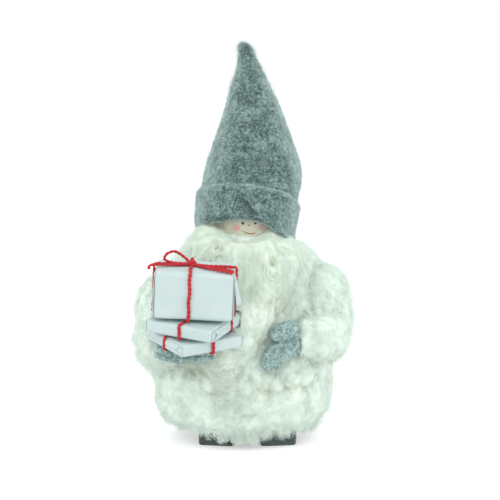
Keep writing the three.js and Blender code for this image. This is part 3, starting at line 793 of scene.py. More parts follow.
def paint_dot(name, x, z, wide, high):
    """A small round dab of paint, highest in its middle."""
    out = unit(on_face(x, z) - HEAD)
    right = unit(np.cross([0, 0, 1], out))
    up = np.cross(out, right)
    turn = round_angles(20)[:, None]
    rings = []
    for share, rise in DAB_RINGS:
        flat = (np.cos(turn) * right * wide + np.sin(turn) * up * high) * share / 2
        rings.append(unit(on_face(x, z) + flat - HEAD) * (HEAD_RADIUS + rise) + HEAD)
    rings.append([HEAD + out * (HEAD_RADIUS + rise) for rise in (0.14, -0.15)])
    dab = mesh_object(name, np.concatenate(rings), turned_faces(len(DAB_RINGS), len(turn)))
    dab.data.flip_normals()
    return dab


def paint_line(name, marks, wide):
    """A thin brush stroke through points on the face."""
    path = np.array([on_face(x, z, 0.02) for x, z in spline(marks, 30)])
    radius = wide / 2 * (0.55 + 0.45 * np.sin(np.linspace(0.35, math.pi - 0.35, len(path))))
    return hairs(name, path[None], radius, sides=10)


def head_finish():
    """Pale turned wood with a soft pink dab on each cheek."""
    wood = Finish("painted_head", 0.6, Specular_IOR_Level=0.3)
    grain = wood.noise(5, 4.0, 0.6, stretch=(1, 1, 0.08), warp=0.5)
    pore = wood.noise(0.45, 2.0, 0.6, stretch=(1, 1, 0.1))
    bare = wood.ramp(wood.plus(pore, 0.35, grain), (0.4, (0.62, 0.605, 0.475)),
                     (0.85, (0.75, 0.735, 0.6)))
    blotch = wood.ramp(wood.noise(1.2, 3.0, 0.7), (0.3, 0.55), (0.6, 1.0))
    cheeks = wood.math("MAXIMUM", wood.spot(on_face(-5.23, -5.11), 1.2, 2.9),
                       wood.spot(on_face(9.3, -5.19), 1.0, 2.7))
    wood.colour(wood.mix(wood.math("MULTIPLY", cheeks, blotch), bare, (0.78, 0.41, 0.43)))
    wood.rough(wood.ramp(grain, (0.3, 0.52), (0.8, 0.68)))
    wood.bump(pore, 0.08)
    return wood.material


dress(make_head(), "body", "head_wood", head_finish(), "head_ball")
for name, x, z, wide, high, finish in (("right_eye", -1.49, -2.5, 1.7, 1.7, eye_paint),
                                       ("left_eye", 5.85, -2.56, 1.4, 1.45, eye_paint),
                                       ("nose_mark", 2.06, -3.62, 1.5, 0.8, lip_paint)):
    dress(paint_dot(name, x, z, wide, high), "body", "face_paint", finish)
smile = [(-1.2, -7.5), (0.7, -8.2), (2.1, -8.6), (3.4, -8.83), (4.8, -8.7), (5.85, -8.2)]
dress(paint_line("smile", smile, 0.55), "body", "face_paint", lip_paint)
dress(paint_dot("smile_corner", -1.9, -7.1, 0.7, 0.7), "body", "face_paint", lip_paint)


# ---- mittens ----

MITTEN_SPAN = 29.0
MITTEN_FIBRES = 1100      # on each layer
MITTEN_LAYER = 3.1
MITTEN_HALF = 3.25
MITTEN_GAP = 0.15      # from the middle plane to a layer
MITTEN_EDGE = 0.9      # how far in a layer's edge rounds over
THUMB = [(0.362, 0.483), (0.103, 0.469), (-0.103, 0.386), (-0.214, 0.241), (-0.172, 0.11), (-0.055, 0.069)]
THUMB_ROOT, PALM_MIDDLE = (-0.055, 0.069), (0.26, 0.1)      # both ends of the crease, as shares of the span
PALM = [(-0.055, 0.069), (-0.241, -0.021), (-0.366, -0.193), (-0.393, -0.379), (-0.297, -0.51),
        (-0.124, -0.497), (0.103, -0.324), (0.283, -0.231), (0.414, -0.138)]


def mitten_outline():
    loop = np.concatenate([spline(THUMB, 40)[:-1], spline(PALM, 70), straight(PALM[-1], THUMB[0], 22)[:-1]])
    return loop * MITTEN_SPAN


def mitten_depth(grid):
    """How deep inside the mitten's outline each place lies. It is negative outside."""
    a = mitten_outline()
    b = np.roll(a, -1, axis=0)
    flat = grid.reshape(-1, 1, 2)
    crosses = ((a[:, 1] > flat[..., 1]) != (b[:, 1] > flat[..., 1])) & (
        flat[..., 0] < (b[:, 0] - a[:, 0]) * (flat[..., 1] - a[:, 1]) / (b[:, 1] - a[:, 1] + 1e-12) + a[:, 0])
    share = np.clip(np.sum((flat - a) * (b - a), axis=-1) / np.sum((b - a) ** 2, axis=-1), 0, 1)
    gap = np.linalg.norm(flat - a - share[..., None] * (b - a), axis=-1).min(axis=1)
    return np.where(np.sum(crosses, axis=1) % 2 == 1, gap, -gap).reshape(grid.shape[:2])


def open_edges(quads):
    """The edges that only one of the quads has, each in the order in which that quad goes round."""
    edges = {}
    for quad in quads:
        for k in range(4):
            pair = quad[k], quad[(k + 1) % 4]
            if edges.pop(pair[::-1], None) is None:
                edges[pair] = True
    return np.array(list(edges))


def make_mitten_layer(name, to_figure, side):
    """One felt layer of a mitten, a little puffed. side is +1 or -1 along the mitten's own Z."""
    loop, step = mitten_outline(), 0.42
    low, high = loop.min(axis=0) - step, loop.max(axis=0) + step
    grid = np.stack(np.meshgrid(*(np.arange(low[k], high[k], step) for k in (0, 1)), indexing="ij"), axis=-1)
    depth = mitten_depth(grid)
    keep = depth > 0
    number = np.full(depth.shape, -1)
    number[keep] = np.arange(keep.sum())
    i, j = np.nonzero(keep[:-1, :-1] & keep[1:, :-1] & keep[1:, 1:] & keep[:-1, 1:])
    top = np.stack([number[i, j], number[i + 1, j], number[i + 1, j + 1], number[i, j + 1]], axis=1)
    # The edge rounds over, and the sheet puffs up to 0.75 mm towards its middle.
    edge = np.sqrt(np.clip(1 - (1 - np.clip(depth[keep] / MITTEN_EDGE, 0, 1)) ** 2, 0, 1))
    puff = 0.75 * np.clip(depth[keep] / 6, 0, 1) ** 0.6
    outer = MITTEN_GAP + (MITTEN_LAYER - MITTEN_EDGE) + MITTEN_EDGE * edge + puff - 0.35
    inner = MITTEN_GAP + MITTEN_EDGE * (1 - edge)
    points = np.concatenate([np.column_stack([grid[keep], height]) for height in (outer, inner)])
    count = len(outer)
    rim = open_edges(top)
    wall = np.stack([rim[:, 1], rim[:, 0], rim[:, 0] + count, rim[:, 1] + count], axis=1)
    used = np.unique(np.concatenate([top, top + count]))
    renumber = np.full(len(points), -1)
    renumber[used] = np.arange(len(used))
    faces = [renumber[quads][:, ::side] for quads in (top, (top + count)[:, ::-1], wall)]
    layer = mesh_object(name, turned_by(to_figure, points[used] * (1, 1, side)), faces)
    soften(layer, 0.5, 2)
    at, out = places(layer), normals(layer)
    crease = (to_figure @ Vector((x * MITTEN_SPAN, y * MITTEN_SPAN, MITTEN_LAYER * side))
              for x, y in (THUMB_ROOT, PALM_MIDDLE))
    lift = waves(at, (0.2, 4, 11), (0.16, 1.6, 12), (0.1, 0.8, 13)) - np.exp(-line_distance(at, *crease) ** 2)
    set_places(layer, at + out * lift[:, None])
    return layer


def turn(degrees, axis):
    return Matrix.Rotation(math.radians(degrees), 4, axis)


STACK = Matrix.Translation((-27.7, AXES_Y - 58, BLOCK_TOP - 35.7)) @ turn(8, "X") @ turn(3, "Y")
MITTENS = {
    "right": STACK @ Matrix.Translation((-4.5, -6.5, -1.2 - MITTEN_HALF)) @ turn(128, "Z"),
    "left": Matrix.Translation((21.4, AXES_Y - 45.5, BLOCK_TOP - 39.7)) @ turn(15, "Z") @ turn(90, "X"),
}
for hand, to_figure in MITTENS.items():
    for layer, layer_side in (("front", 1), ("back", -1)):
        name, body = f"{hand}_mitten_{layer}", f"{hand}_arm"
        felt = make_mitten_layer(f"{name}_felt", to_figure, layer_side)
        dress(felt, body, "mitten_felt", mitten_felt, name)
        dress(fuzz(f"{name}_fibres", felt, MITTEN_FIBRES, 1.8, 0.045, 0.35), body, "mitten_felt", felt_fibre)


# ---- feet ----

def make_foot(name, sign):
    length, width, height, flare, edge = 38.0, 21.0, 14.0, 0.7, 0.9
    columns = 220
    levels = [(-1.9, 0.0), (-edge, 0.0), (-edge * 0.3, edge * 0.3), (0, edge)]
    levels += [(flare * z / height, z) for z in np.linspace(1.6, height - 1.6, 16)]
    levels += [(flare, height - edge), (flare - edge * 0.3, height - edge * 0.3), (flare - edge, height),
               (flare - 1.9, height)]
    rings = []
    for grow, z in levels:
        loop = even_path(rounded_rectangle(width / 2 + grow, length / 2 + grow, 2.0, 7), True, columns)
        rings.append(np.column_stack([loop, np.full(columns, z)]))
    points = np.concatenate(rings + [[(0, 0, 0), (0, 0, height)]])
    place = Matrix.Translation((sign * 15.75 + 2.6, AXES_Y - 7, 0)) @ turn(sign * 9, "Z")
    foot = mesh_object(name, turned_by(place, points), turned_faces(len(levels), columns))
    at, out = places(foot), normals(foot)
    dent = 0.12 * noise(at, 3.0, 21) + 0.08 * noise(at * (1, 1, 0.3), 0.9, 22)
    dent[at[:, 2] < 0.2] = 0
    moved = at + out * dent[:, None]
    moved[:, 2] = np.maximum(moved[:, 2], 0)
    set_places(foot, moved)
    level_gap = np.minimum(np.abs(points[:, 2]), height - points[:, 2])
    upright_gap = np.hypot(*np.abs(np.abs(points[:, :2]) - (width / 2, length / 2)).T)
    add_attribute(foot, "edge", np.exp(-np.minimum(level_gap, upright_gap) / 0.8))
    return foot


for side, sign in SIGN.items():
    dress(make_foot(f"{side}_foot_block", sign), "body", "foot_wood", dark_paint, f"{side}_foot")


# ---- parcels ----

def cube_grid(size, step):
    """The surface of a box cut into squares: points from -1 to 1 and quads."""
    sides = []
    for axis in range(3):
        u, v = (axis + 1) % 3, (axis + 2) % 3
        nu, nv = (max(2, round(size[k] / step) + 1) for k in (u, v))
        for end in (-1, 1):
            face = np.empty((nu, nv, 3))
            face[..., axis] = end
            face[..., u] = np.linspace(-1, 1, nu)[:, None]
            face[..., v] = np.linspace(-1, 1, nv)[None]
            sides.append((face.reshape(-1, 3), grid_faces(nu, nv, looped=False)[:, ::-end]))
    points, quads = merged(sides)
    points, back = np.unique(np.round(points, 6), axis=0, return_inverse=True)
    return points, back.reshape(-1)[quads]


def make_wrap(name, place, size, seed, soft):
    """A parcel's paper: a thin closed wrapper with soft edges, shallow dents and folds along its edges."""
    half = np.array(size) / 2
    unit_points, quads = cube_grid(size, 0.75)
    layers = []
    for inset in (0.0, PAPER):
        reach = half - inset
        flat = unit_points * reach
        inner = np.clip(flat, -(reach - soft), reach - soft)
        push = flat - inner
        length = np.linalg.norm(push, axis=1, keepdims=True)
        body = inner + push / np.maximum(length, 1e-9) * np.minimum(length, soft)
        # The paper is a little slack on each face, and gathers into a few shallow folds.
        slack = 1 - np.abs(unit_points) ** 4
        wave = waves(flat + seed * 50, (0.35, 16, seed), (0.16, 6, seed + 1))
        for axis in range(3):
            other = slack[:, (axis + 1) % 3] * slack[:, (axis + 2) % 3]
            on_axis = np.abs(unit_points[:, axis]) ** 8
            body[:, axis] += np.sign(unit_points[:, axis]) * on_axis * other * wave
        body[:, 2] += half[2]
        layers.append(body)
    points = turned_by(place, np.concatenate(layers))
    return mesh_object(name, points, [quads, quads[:, ::-1] + len(unit_points)])


def make_sheet(name, place, four):
    """A thin piece of paper between four corners, a little bowed in its middle."""
    a, b, c, d = (np.array(p, dtype=float) for p in four)
    steps, thick, sag = (14, 12), 0.3, 0.12
    u = np.linspace(0, 1, steps[0])[:, None, None]
    v = np.linspace(0, 1, steps[1])[None, :, None]
    middle = a * (1 - u) * (1 - v) + b * u * (1 - v) + c * u * v + d * (1 - u) * v
    out = unit(np.cross(b - a + c - d, d - a + c - b))
    middle = middle + out * sag * np.sin(u * math.pi) * np.sin(v * math.pi)
    points = np.concatenate([(middle + out * half / 2).reshape(-1, 3) for half in (thick, -thick)])
    quads = grid_faces(*steps, looped=False)
    count = steps[0] * steps[1]
    index = np.arange(count).reshape(steps)
    rim = np.concatenate([index[:, 0], index[-1, 1:], index[-2::-1, -1], index[0, -2:0:-1]])
    nxt = np.roll(rim, -1)
    wall = np.stack([rim, nxt, nxt + count, rim + count], axis=1)
    return mesh_object(name, turned_by(place, points), [quads, quads[:, ::-1] + count, wall[:, ::-1]])


def join(name, pieces):
    """One object from several, in their order."""
    points, groups, count = [], {}, 0
    for piece in pieces:
        points.append(places(piece))
        for face in piece.data.polygons:
            groups.setdefault(len(face.vertices), []).append(np.array(face.vertices) + count)
        count += len(points[-1])
    whole = mesh_object(name, np.concatenate(points), [np.array(g) for g in groups.values()])
    for piece in pieces:
        bpy.data.objects.remove(piece)
    return whole


PAPER = 0.35      # the thickness of a parcel's wrapper
PARCELS = {
    "bottom_parcel": dict(size=(40, 40, 6.8), turn=35, at=(0, 0, 0), band=(-0.5, -2), seed=31),
    "middle_parcel": dict(size=(40, 44, 7.1), turn=-22, at=(0, 0, 9.0), band=(1, 4), seed=32),
    "top_parcel": dict(size=(44, 28, 27), turn=0, at=(-0.7, -3.4, 18.3), band=(-2.5, 0), seed=33),
}


def make_folds(name, place, size, sign, top):
    """The folded end of a parcel: two side flaps, one from below and one from above."""
    width, depth, height = size
    x = sign * width / 2
    d, h = depth / 2 - 0.6, height - 0.5
    tuck = min(depth * 0.36, height * 1.2)

    def flap(off, z, end_off, end_z):
        """A flap across the end, which narrows from the height z to the height end_z."""
        return [(x + sign * off, -d + 1, z), (x + sign * off, d - 1, z),
                (x + sign * end_off, d - tuck * 0.8, end_z), (x + sign * end_off, -d + tuck * 0.8, end_z)]

    layers = [[(x + sign * 0.12, end * d, 0.5), (x + sign * 0.12, end * d, h),
               (x + sign * 0.2, end * (d - tuck), h - height * 0.28),
               (x + sign * 0.2, end * (d - tuck), height * 0.28)] for end in (-1, 1)]
    layers.append(flap(0.5, 0.6, 0.6, height * 0.62))
    if top:
        # The upper flaps of the top parcel stand off, the left one further and askew.
        flare, skew = (3.2, 1.4) if sign > 0 else (1.2, 0.4)
        layers.append([(x - sign * 0.2, -d, h - 0.4), (x - sign * 0.2, -2.4, h - 0.4),
                       (x + sign * (flare + skew), -3.6, h - 18),
                       (x + sign * (flare - skew), -d + 0.6, h - 17)])
    else:
        layers.append(flap(0.3, h - 0.3, 0.85, height * 0.4))
    return join(name, [make_sheet(f"{name}_{k}", place, four) for k, four in enumerate(layers)])


# ---- yarn ----

YARN_STEP = 0.42
YARN_PITCH = 5.2      # the length of one full twist
PRESSED, LOOSE = 0.48, 0.8      # how flat a band is on a face of a parcel, and over its edges


def two_ply(name, path, up, closed, squeeze, ply=0.68, gap=0.36):
    """Two strands of yarn twisted round a path. up leads off the paper, and squeeze flattens them on it."""
    count = len(path)
    if closed:
        along = unit(np.roll(path, -1, axis=0) - np.roll(path, 1, axis=0))
    else:
        along = unit(np.gradient(path, axis=0))
    up = unit(up - along * np.sum(up * along, axis=1, keepdims=True))
    side = np.cross(along, up)
    step = np.linalg.norm(np.roll(path, -1, axis=0) - path, axis=1)
    gone = np.concatenate([[0], np.cumsum(step)[:-1]])
    total = step.sum() if closed else gone[-1]
    angle = gone / total * max(1, round(total / YARN_PITCH)) * 2 * math.pi
    sides = 10
    ring = round_angles(sides)
    # A closed strand ends in a seam back to its first ring, and an open one in two caps.
    seam = grid_faces(2, sides)
    ends = [seam % sides + np.where(seam < sides, (count - 1) * sides, 0)] if closed else [
        np.arange(sides)[::-1][None], (np.arange(sides) + (count - 1) * sides)[None]]
    meshes = []
    for half_turn in (0, math.pi):
        twist = (angle + half_turn)[:, None]
        thick = ply * (1 + 0.06 * np.sin(gone * 2.3 + half_turn))[:, None]
        if not closed:
            thick = thick * np.clip(np.minimum(gone, total - gone)[:, None] / 0.5, 0.45, 1)
        flat = np.stack([gap * f(twist) + thick * f(ring) for f in (np.cos, np.sin)], axis=-1)
        points = (path[:, None] + side[:, None] * flat[..., :1]
                  + up[:, None] * flat[..., 1:] * squeeze[:, None, None])
        meshes.append(mesh_object(f"{name}_{len(meshes)}", points.reshape(-1, 3),
                                  [grid_faces(count, sides), *ends]))
    return meshes


def make_band(name, place, size, band, along_x, top):
    """One loop of yarn round a parcel."""
    box = np.array(size)
    width, depth, height = size
    across, fixed = (0, 1) if along_x else (1, 0)
    loop = even_path(rounded_rectangle(size[across] / 2 + 0.95, height / 2 + (1.06 / 2 + 0.12), 1.3, 8), True)
    on_faces = np.abs(loop[:, 1]) > height / 2
    pressed = evened(np.where(on_faces & ~((loop[:, 1] > 0) & top), PRESSED, LOOSE), 4)
    rise = np.where(on_faces & (not along_x), 0.5, 0.0) * np.exp(-((loop[:, 0] - band[1]) / 2.2) ** 2)
    loop[:, 1] += np.sign(loop[:, 1]) * (rise + (pressed - PRESSED) * 0.9 * (loop[:, 1] > 0) * top)
    wobble = 0.25 * np.sin(loop[:, 0] * 0.35 + height) + 0.2 * np.sin(loop[:, 1] * 0.5 + width)
    path = np.empty((len(loop), 3))
    path[:, across], path[:, fixed], path[:, 2] = loop[:, 0], band[fixed] + wobble, height / 2 + loop[:, 1]
    up = path - (0, 0, height / 2)
    up[:, fixed] = 0
    up = unit(up - np.clip(up, -box / 2 + 0.4, box / 2 - 0.4))
    spun = np.array(place.to_3x3())
    return two_ply(name, turned_by(place, path), up @ spun.T, True, pressed)


def make_bow(name, place, size, band):
    """The knot with its standing loop, its flat loop and its loose end."""
    x, y, height = band[0], band[1], size[2]
    edge, loop, rise, spread, slant, tail, flat = size[0] / 2, 14.6, 6.2, 1.4, 12.6, 0.6, 0.12
    rest = height + 1.35
    off = np.array(place.to_3x3())[:, 2]
    routes = [
        [(0, 0, 0.4), (-loop * 0.28, spread * 0.7, rise * 0.6), (-loop * 0.62, spread, rise + 0.3),
         (-loop * 0.92, spread * 0.8, rise * 0.85), (-loop * 1.02, 0, rise * 0.38),
         (-loop * 0.75, -spread, 0.9), (-loop * 0.34, -spread * 0.7, 0.6), (0, 0, 0.2)],
        [(0, 0, flat), (edge * 0.37, -slant * 0.4, 0), (edge - 2, -slant * 0.9, 0), (edge + 0.9, -slant, 0),
         (edge + 0.5, -slant * 0.78, 0), (edge - 4, -slant * 0.55, 0), (edge * 0.37, -slant * 0.2, flat),
         (0, 0, flat)],
        [(0, 0, flat), (-edge * 0.42, -slant * 0.2, flat), (3 - edge, -slant * 0.32, flat),
         (-edge - tail, -slant * 0.37, -tail), (-edge - tail - 0.6, -slant * 0.36, -tail - 2.2)],
    ]

    def strand(part, path, closed, up, flatness):
        path = turned_by(place, even_path(path, closed) + (0 if closed else (x, y, rest)))
        return two_ply(f"{name}_{part}", path, np.tile(up, (len(path), 1)), closed,
                       np.full(len(path), flatness), ply=0.62, gap=0.34)

    meshes = []
    for k, route in enumerate(routes):
        meshes += strand(k, spline(route, 120), False, off, 0.92)
    t = np.linspace(0, 2 * math.pi, 90, endpoint=False)
    ball = 1.25 + 0.6 * np.cos(3 * t)
    knot = np.stack([x + ball * np.cos(2 * t) * 1.15, y + ball * np.sin(2 * t),
                     height + 1.9 + 0.85 * np.sin(3 * t)], axis=1)
    return meshes + strand("knot", knot, True, off + 0.01, 0.95)


for parcel, facts in PARCELS.items():
    size, band = facts["size"], facts["band"]
    on_top = parcel == "top_parcel"
    place = STACK @ Matrix.Translation(facts["at"]) @ turn(facts["turn"], "Z")
    paper = make_wrap(f"{parcel}_paper", place, size, facts["seed"], 2.2 if on_top else 1.4)
    dress(paper, "right_arm", "parcel_paper", white_paper, f"{parcel}_wrap")
    for side, sign in SIGN.items():
        folds = make_folds(f"{parcel}_{side}_end", place, size, sign, on_top)
        dress(folds, "right_arm", "parcel_paper", white_paper, f"{parcel}_{side}_fold")
    yarn = make_band(f"{parcel}_yarn_x", place, size, band, True, on_top)
    yarn += make_band(f"{parcel}_yarn_y", place, size, band, False, on_top)
    if on_top:
        yarn += make_bow(f"{parcel}_bow", place, size, band)
    tie = join(f"{parcel}_yarn", yarn)
    dress(tie, "right_arm", "parcel_yarn", red_yarn, f"{parcel}_tie")
    fibres = fuzz(f"{parcel}_yarn_fibres", tie, 900 if on_top else 350, 1.5, 0.035, 0.7)
    dress(fibres, "right_arm", "parcel_yarn", red_yarn)


# ---- fleece ----

# The coat's outline at some heights: the height, half the width, and how far it reaches forwards and back
COAT_STATIONS = np.array([(8.5, 43, 35, 38), (17, 49.5, 39.5, 43), (40, 53.5, 41, 46), (66, 50, 36.5, 44),
                          (88, 46.5, 33, 41), (106, 42, 29, 36), (118, 33, 26, 30), (125, 26, 20, 25)])
# The CAD nodes that the wool keeps clear of
RIGID = ["hat", "head_ball", "right_foot", "left_foot"]
RIGID += [f"{side}_mitten_{layer}" for side in SIGN for layer in ("front", "back")]
RIGID += [f"{level}_parcel_{part}" for level in ("bottom", "middle", "top")
          for part in ("wrap", "left_fold", "right_fold", "tie")]
HAIR_GAP = 0.6      # how near a hair may come to them
LOCKS, LOCK_HAIRS = 1530, 4      # locks on a piece, and hairs in one; more would be over 200,000 triangles


def room(tree, points, most):
    """How far each point is from the nearest surface in a tree, up to a limit."""
    found = (tree.find_nearest(p, most) for p in points.tolist())
    return np.array([most if f[3] is None else f[3] for f in found])


def kept_clear(tree, at, out, lift):
    """The lifts, shortened where they would carry a point into what lies next to it."""
    clear = 0.12
    near = room(tree, at, lift.max() + clear)
    kept = lift.copy()
    for k in np.nonzero(near < lift + clear)[0]:
        start, way = Vector(at[k]), Vector(out[k])
        hit = tree.ray_cast(start, way, lift[k] + clear)
        reach = lift[k] if hit[0] is None else hit[3] - clear
        end = tree.find_nearest(start + way * reach, clear)
        kept[k] = reach if end[0] is None and reach > near[k] - clear else min(lift[k], near[k] - clear)
    return kept


def combed(at):
    """How much wool is combed straight at a place, from 0 to 1, and the way it is combed there."""
    _, y, z = at.T
    share = smooth((z - 86) / 18) * smooth((AXES_Y + 6 - y) / 14)
    away = at - (HEAD[0], AXES_Y - 26, 129)
    return share[:, None], unit(away * (1.0, 0.35, 1.0) - (0, 0, 4))


def wool_way(at, out, seed):
    """The way the fibres lie along a surface: curly, and combed away from the face on the chest."""
    field = noises(at, 5.5, seed) - (0, 0, 0.15)
    share, way = combed(at)
    return tangents(out, field * (1 - share) + (way + 0.35 * field) * share)


def streaks(at, out, seed):
    """Streaks along the fibres, from about -1 to 1: noise averaged along short lines."""
    size, step, count = 0.8, 0.7, 6
    total = noise(at, size, seed)
    for onward in (step, -step):
        p = at.copy()
        for _ in range(count):
            p += onward * wool_way(p, out, seed)
            total += noise(p, size, seed)
    return total / (2 * count + 1) * 2.8


# Curls on the chest: the middle, the radius and the depth of each
CURLS = [((-13.0, AXES_Y - 38.6, 119.1), 3.5, 1.4), ((17.4, AXES_Y - 41.7, 112.0), 4.6, 1.5),
         ((-1.0, AXES_Y - 43, 110.5), 2.4, 0.9), ((7.5, AXES_Y - 44, 103), 3.0, 1.0)]
# Where the fleece is thin and its warmer roots show, and where shade is painted, as under the mitten and the
# parcels: x, z, half width, half height and strength
THIN_AND_SHADED = [(21, 38, 14, 7, 0.65), (-28, 47, 15, 6, 0.65), (27, 83, 10, 7, 0.65), (2, 99, 10, 9, 0.55),
        (-4, 31, 18, 11, 0.35)]


def thin_wool_and_shade(at):
    """How much darker and warmer a place on the front of the figure is painted: thin fleece whose roots show,
    and painted shade.
    """
    x, y, z = at.T
    total = np.zeros(len(at))
    for middle_x, middle_z, wide, high, strength in THIN_AND_SHADED:
        total += strength * np.exp(-((x - middle_x) / wide) ** 2 - ((z - middle_z) / high) ** 2)
    return total * smooth((AXES_Y - 8 - y) / 16) * np.clip(0.8 + 0.8 * noise(at, 5, 50), 0.1, 1.4)


def crimps(at):
    """The waves of the crimped locks that hang from the beard over the belly."""
    x, y, z = at.T
    column = np.exp(-((x + 9) / 6.5) ** 4) * smooth((z - 20) / 6) * smooth((62 - z) / 8)
    column = column * smooth((AXES_Y - 25 - y) / 6)
    wave = np.sin(z * 2 * math.pi / 2.7 + 2.2 * noise(at, 5, 88) + 1.4 * np.sin(x * 1.3))
    return column * (0.5 * wave + 0.5)


def fleece(piece, tree, seed, high, small=4.2, extra=0.0):
    """Raises soft clumps, smaller curls and strands on a piece, but not into what lies next to it."""
    at, out = places(piece), normals(piece)
    pits, rings = np.zeros(len(at)), np.zeros(len(at))
    for heart, radius, deep in CURLS:
        gone = np.linalg.norm(drift(at, 5, 0.7, 77) - heart, axis=1) / radius
        pits = np.maximum(pits, deep * np.exp(-(gone / 0.74) ** 4))
        rings = np.maximum(rings, 0.55 * deep * np.exp(-((gone - 1.05) / 0.3) ** 2))
    rings += crimps(at)
    clump = tufts(drift(at, 6, 2.4, seed), 9.0, seed + 10)
    curl = tufts(drift(at, 3, 1.2, seed + 5), small, seed + 20)
    streak = streaks(at, out, seed + 30)
    collar = np.exp(-(np.linalg.norm((at - (1.5, AXES_Y - 14, 127)) * (0.75, 0.8, 1.2), axis=1) / 17) ** 4)
    calm = (1 - 0.45 * combed(at)[0][:, 0]) * (1 - 0.6 * collar)
    lift = high * calm * (2.5 * clump + 1.35 * curl - 2.4) + 0.26 * streak + extra + rings - pits
    # The crown attribute paints shade into the creases between clumps and curls and into the curls' pits, and
    # light onto the rings round them. It also paints the thin and shaded spots darker.
    crown = 0.55 * clump + 0.35 * curl + 0.12 * streak + 0.1 - 0.7 * thin_wool_and_shade(at) + 0.2 * rings - 0.5 * pits
    set_places(piece, at + out * kept_clear(tree, at, out, lift)[:, None])
    add_attribute(piece, "crown", np.clip(crown, 0, 1))


def make_coat():
    """The coat's skin: rings between its stations, drawn in to the CAD coat, so that the armholes show."""
    columns = 400
    low, high = COAT_STATIONS[0, 0], COAT_STATIONS[-1, 0]
    heights = np.linspace(low, high, 180)
    dense = spline(COAT_STATIONS, 2000)
    half, front, back = (np.interp(heights, dense[:, 0], dense[:, k]) for k in (1, 2, 3))
    inward = np.linspace(0.06, 0.97, 16)
    rows = [(s, 0, low, -1) for s in inward] + [(1, i, z, 0) for i, z in enumerate(heights)]
    rows += [(s, -1, high, 1) for s in inward[::-2]]
    c, s = np.cos(round_angles(columns)), np.sin(round_angles(columns))
    power = 2 / 2.3
    shape_x, shape_y = (np.sign(v) * np.abs(v) ** power for v in (c, s))
    points, ways = [], []
    for share, i, z, up in rows:
        deep = np.where(s > 0, back[i], front[i])
        x, y = half[i] * shape_x * share, deep * shape_y * share
        points.append(np.column_stack([x, y + AXES_Y, np.full(columns, z)]))
        flat = np.column_stack([x / half[i] ** 2, y / deep ** 2, np.zeros(columns)])
        ways.append(np.tile([0, 0, up], (columns, 1)).astype(float) if up else unit(flat))
    points, ways = np.concatenate(points), np.concatenate(ways)
    tree = tree_from(surface_of_nodes("coat"))
    outside = 5      # rays start this far off the rings
    reach = np.where(ways[:, 2] == 0, 27.0, 10.0)
    for k, (start, way, most) in enumerate(zip(points + ways * outside, ways, reach)):
        hit = tree.ray_cast(start.tolist(), (-way).tolist(), most + outside)
        gone = most if hit[0] is None else hit[3] - outside
        points[k] -= way * min(gone, most)
    points = np.concatenate([points, [points[:columns].mean(axis=0), points[-columns:].mean(axis=0)]])
    coat = mesh_object("sheepskin_coat", points, turned_faces(len(rows), columns))
    soften(coat, 0.6, 6)
    return coat


def remeshed(name, voxel, *nodes):
    """An evenly meshed copy of CAD nodes that lie in each other, closed over their joints."""
    points, faces = merged(surface_of(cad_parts[node]) for node in nodes)
    rough = mesh_object("rough", points, [faces])
    modifier = rough.modifiers.new("even", "REMESH")
    modifier.mode = "VOXEL"
    modifier.voxel_size = voxel * MM
    mesh = bpy.data.meshes.new_from_object(rough.evaluated_get(bpy.context.evaluated_depsgraph_get()))
    bpy.data.objects.remove(rough)
    mesh.polygons.foreach_set("use_smooth", np.ones(len(mesh.polygons), dtype=bool))
    return add_object(name, mesh)


def laid(surface, lines, high):
    """Lines moved onto a surface and then off it by the heights."""
    flat = lines.reshape(-1, 3)
    for k, (p, h) in enumerate(zip(flat.tolist(), high.ravel().tolist())):
        near, normal, _, _ = surface.find_nearest(p)
        flat[k] = near + normal * h
    return flat.reshape(lines.shape)


def gaps(lines):
    """How near each hair comes to the rigid pieces, up to 1 mm."""
    return room(rigid_tree, lines.reshape(-1, 3), 1.0).reshape(lines.shape[:2]).min(axis=1)


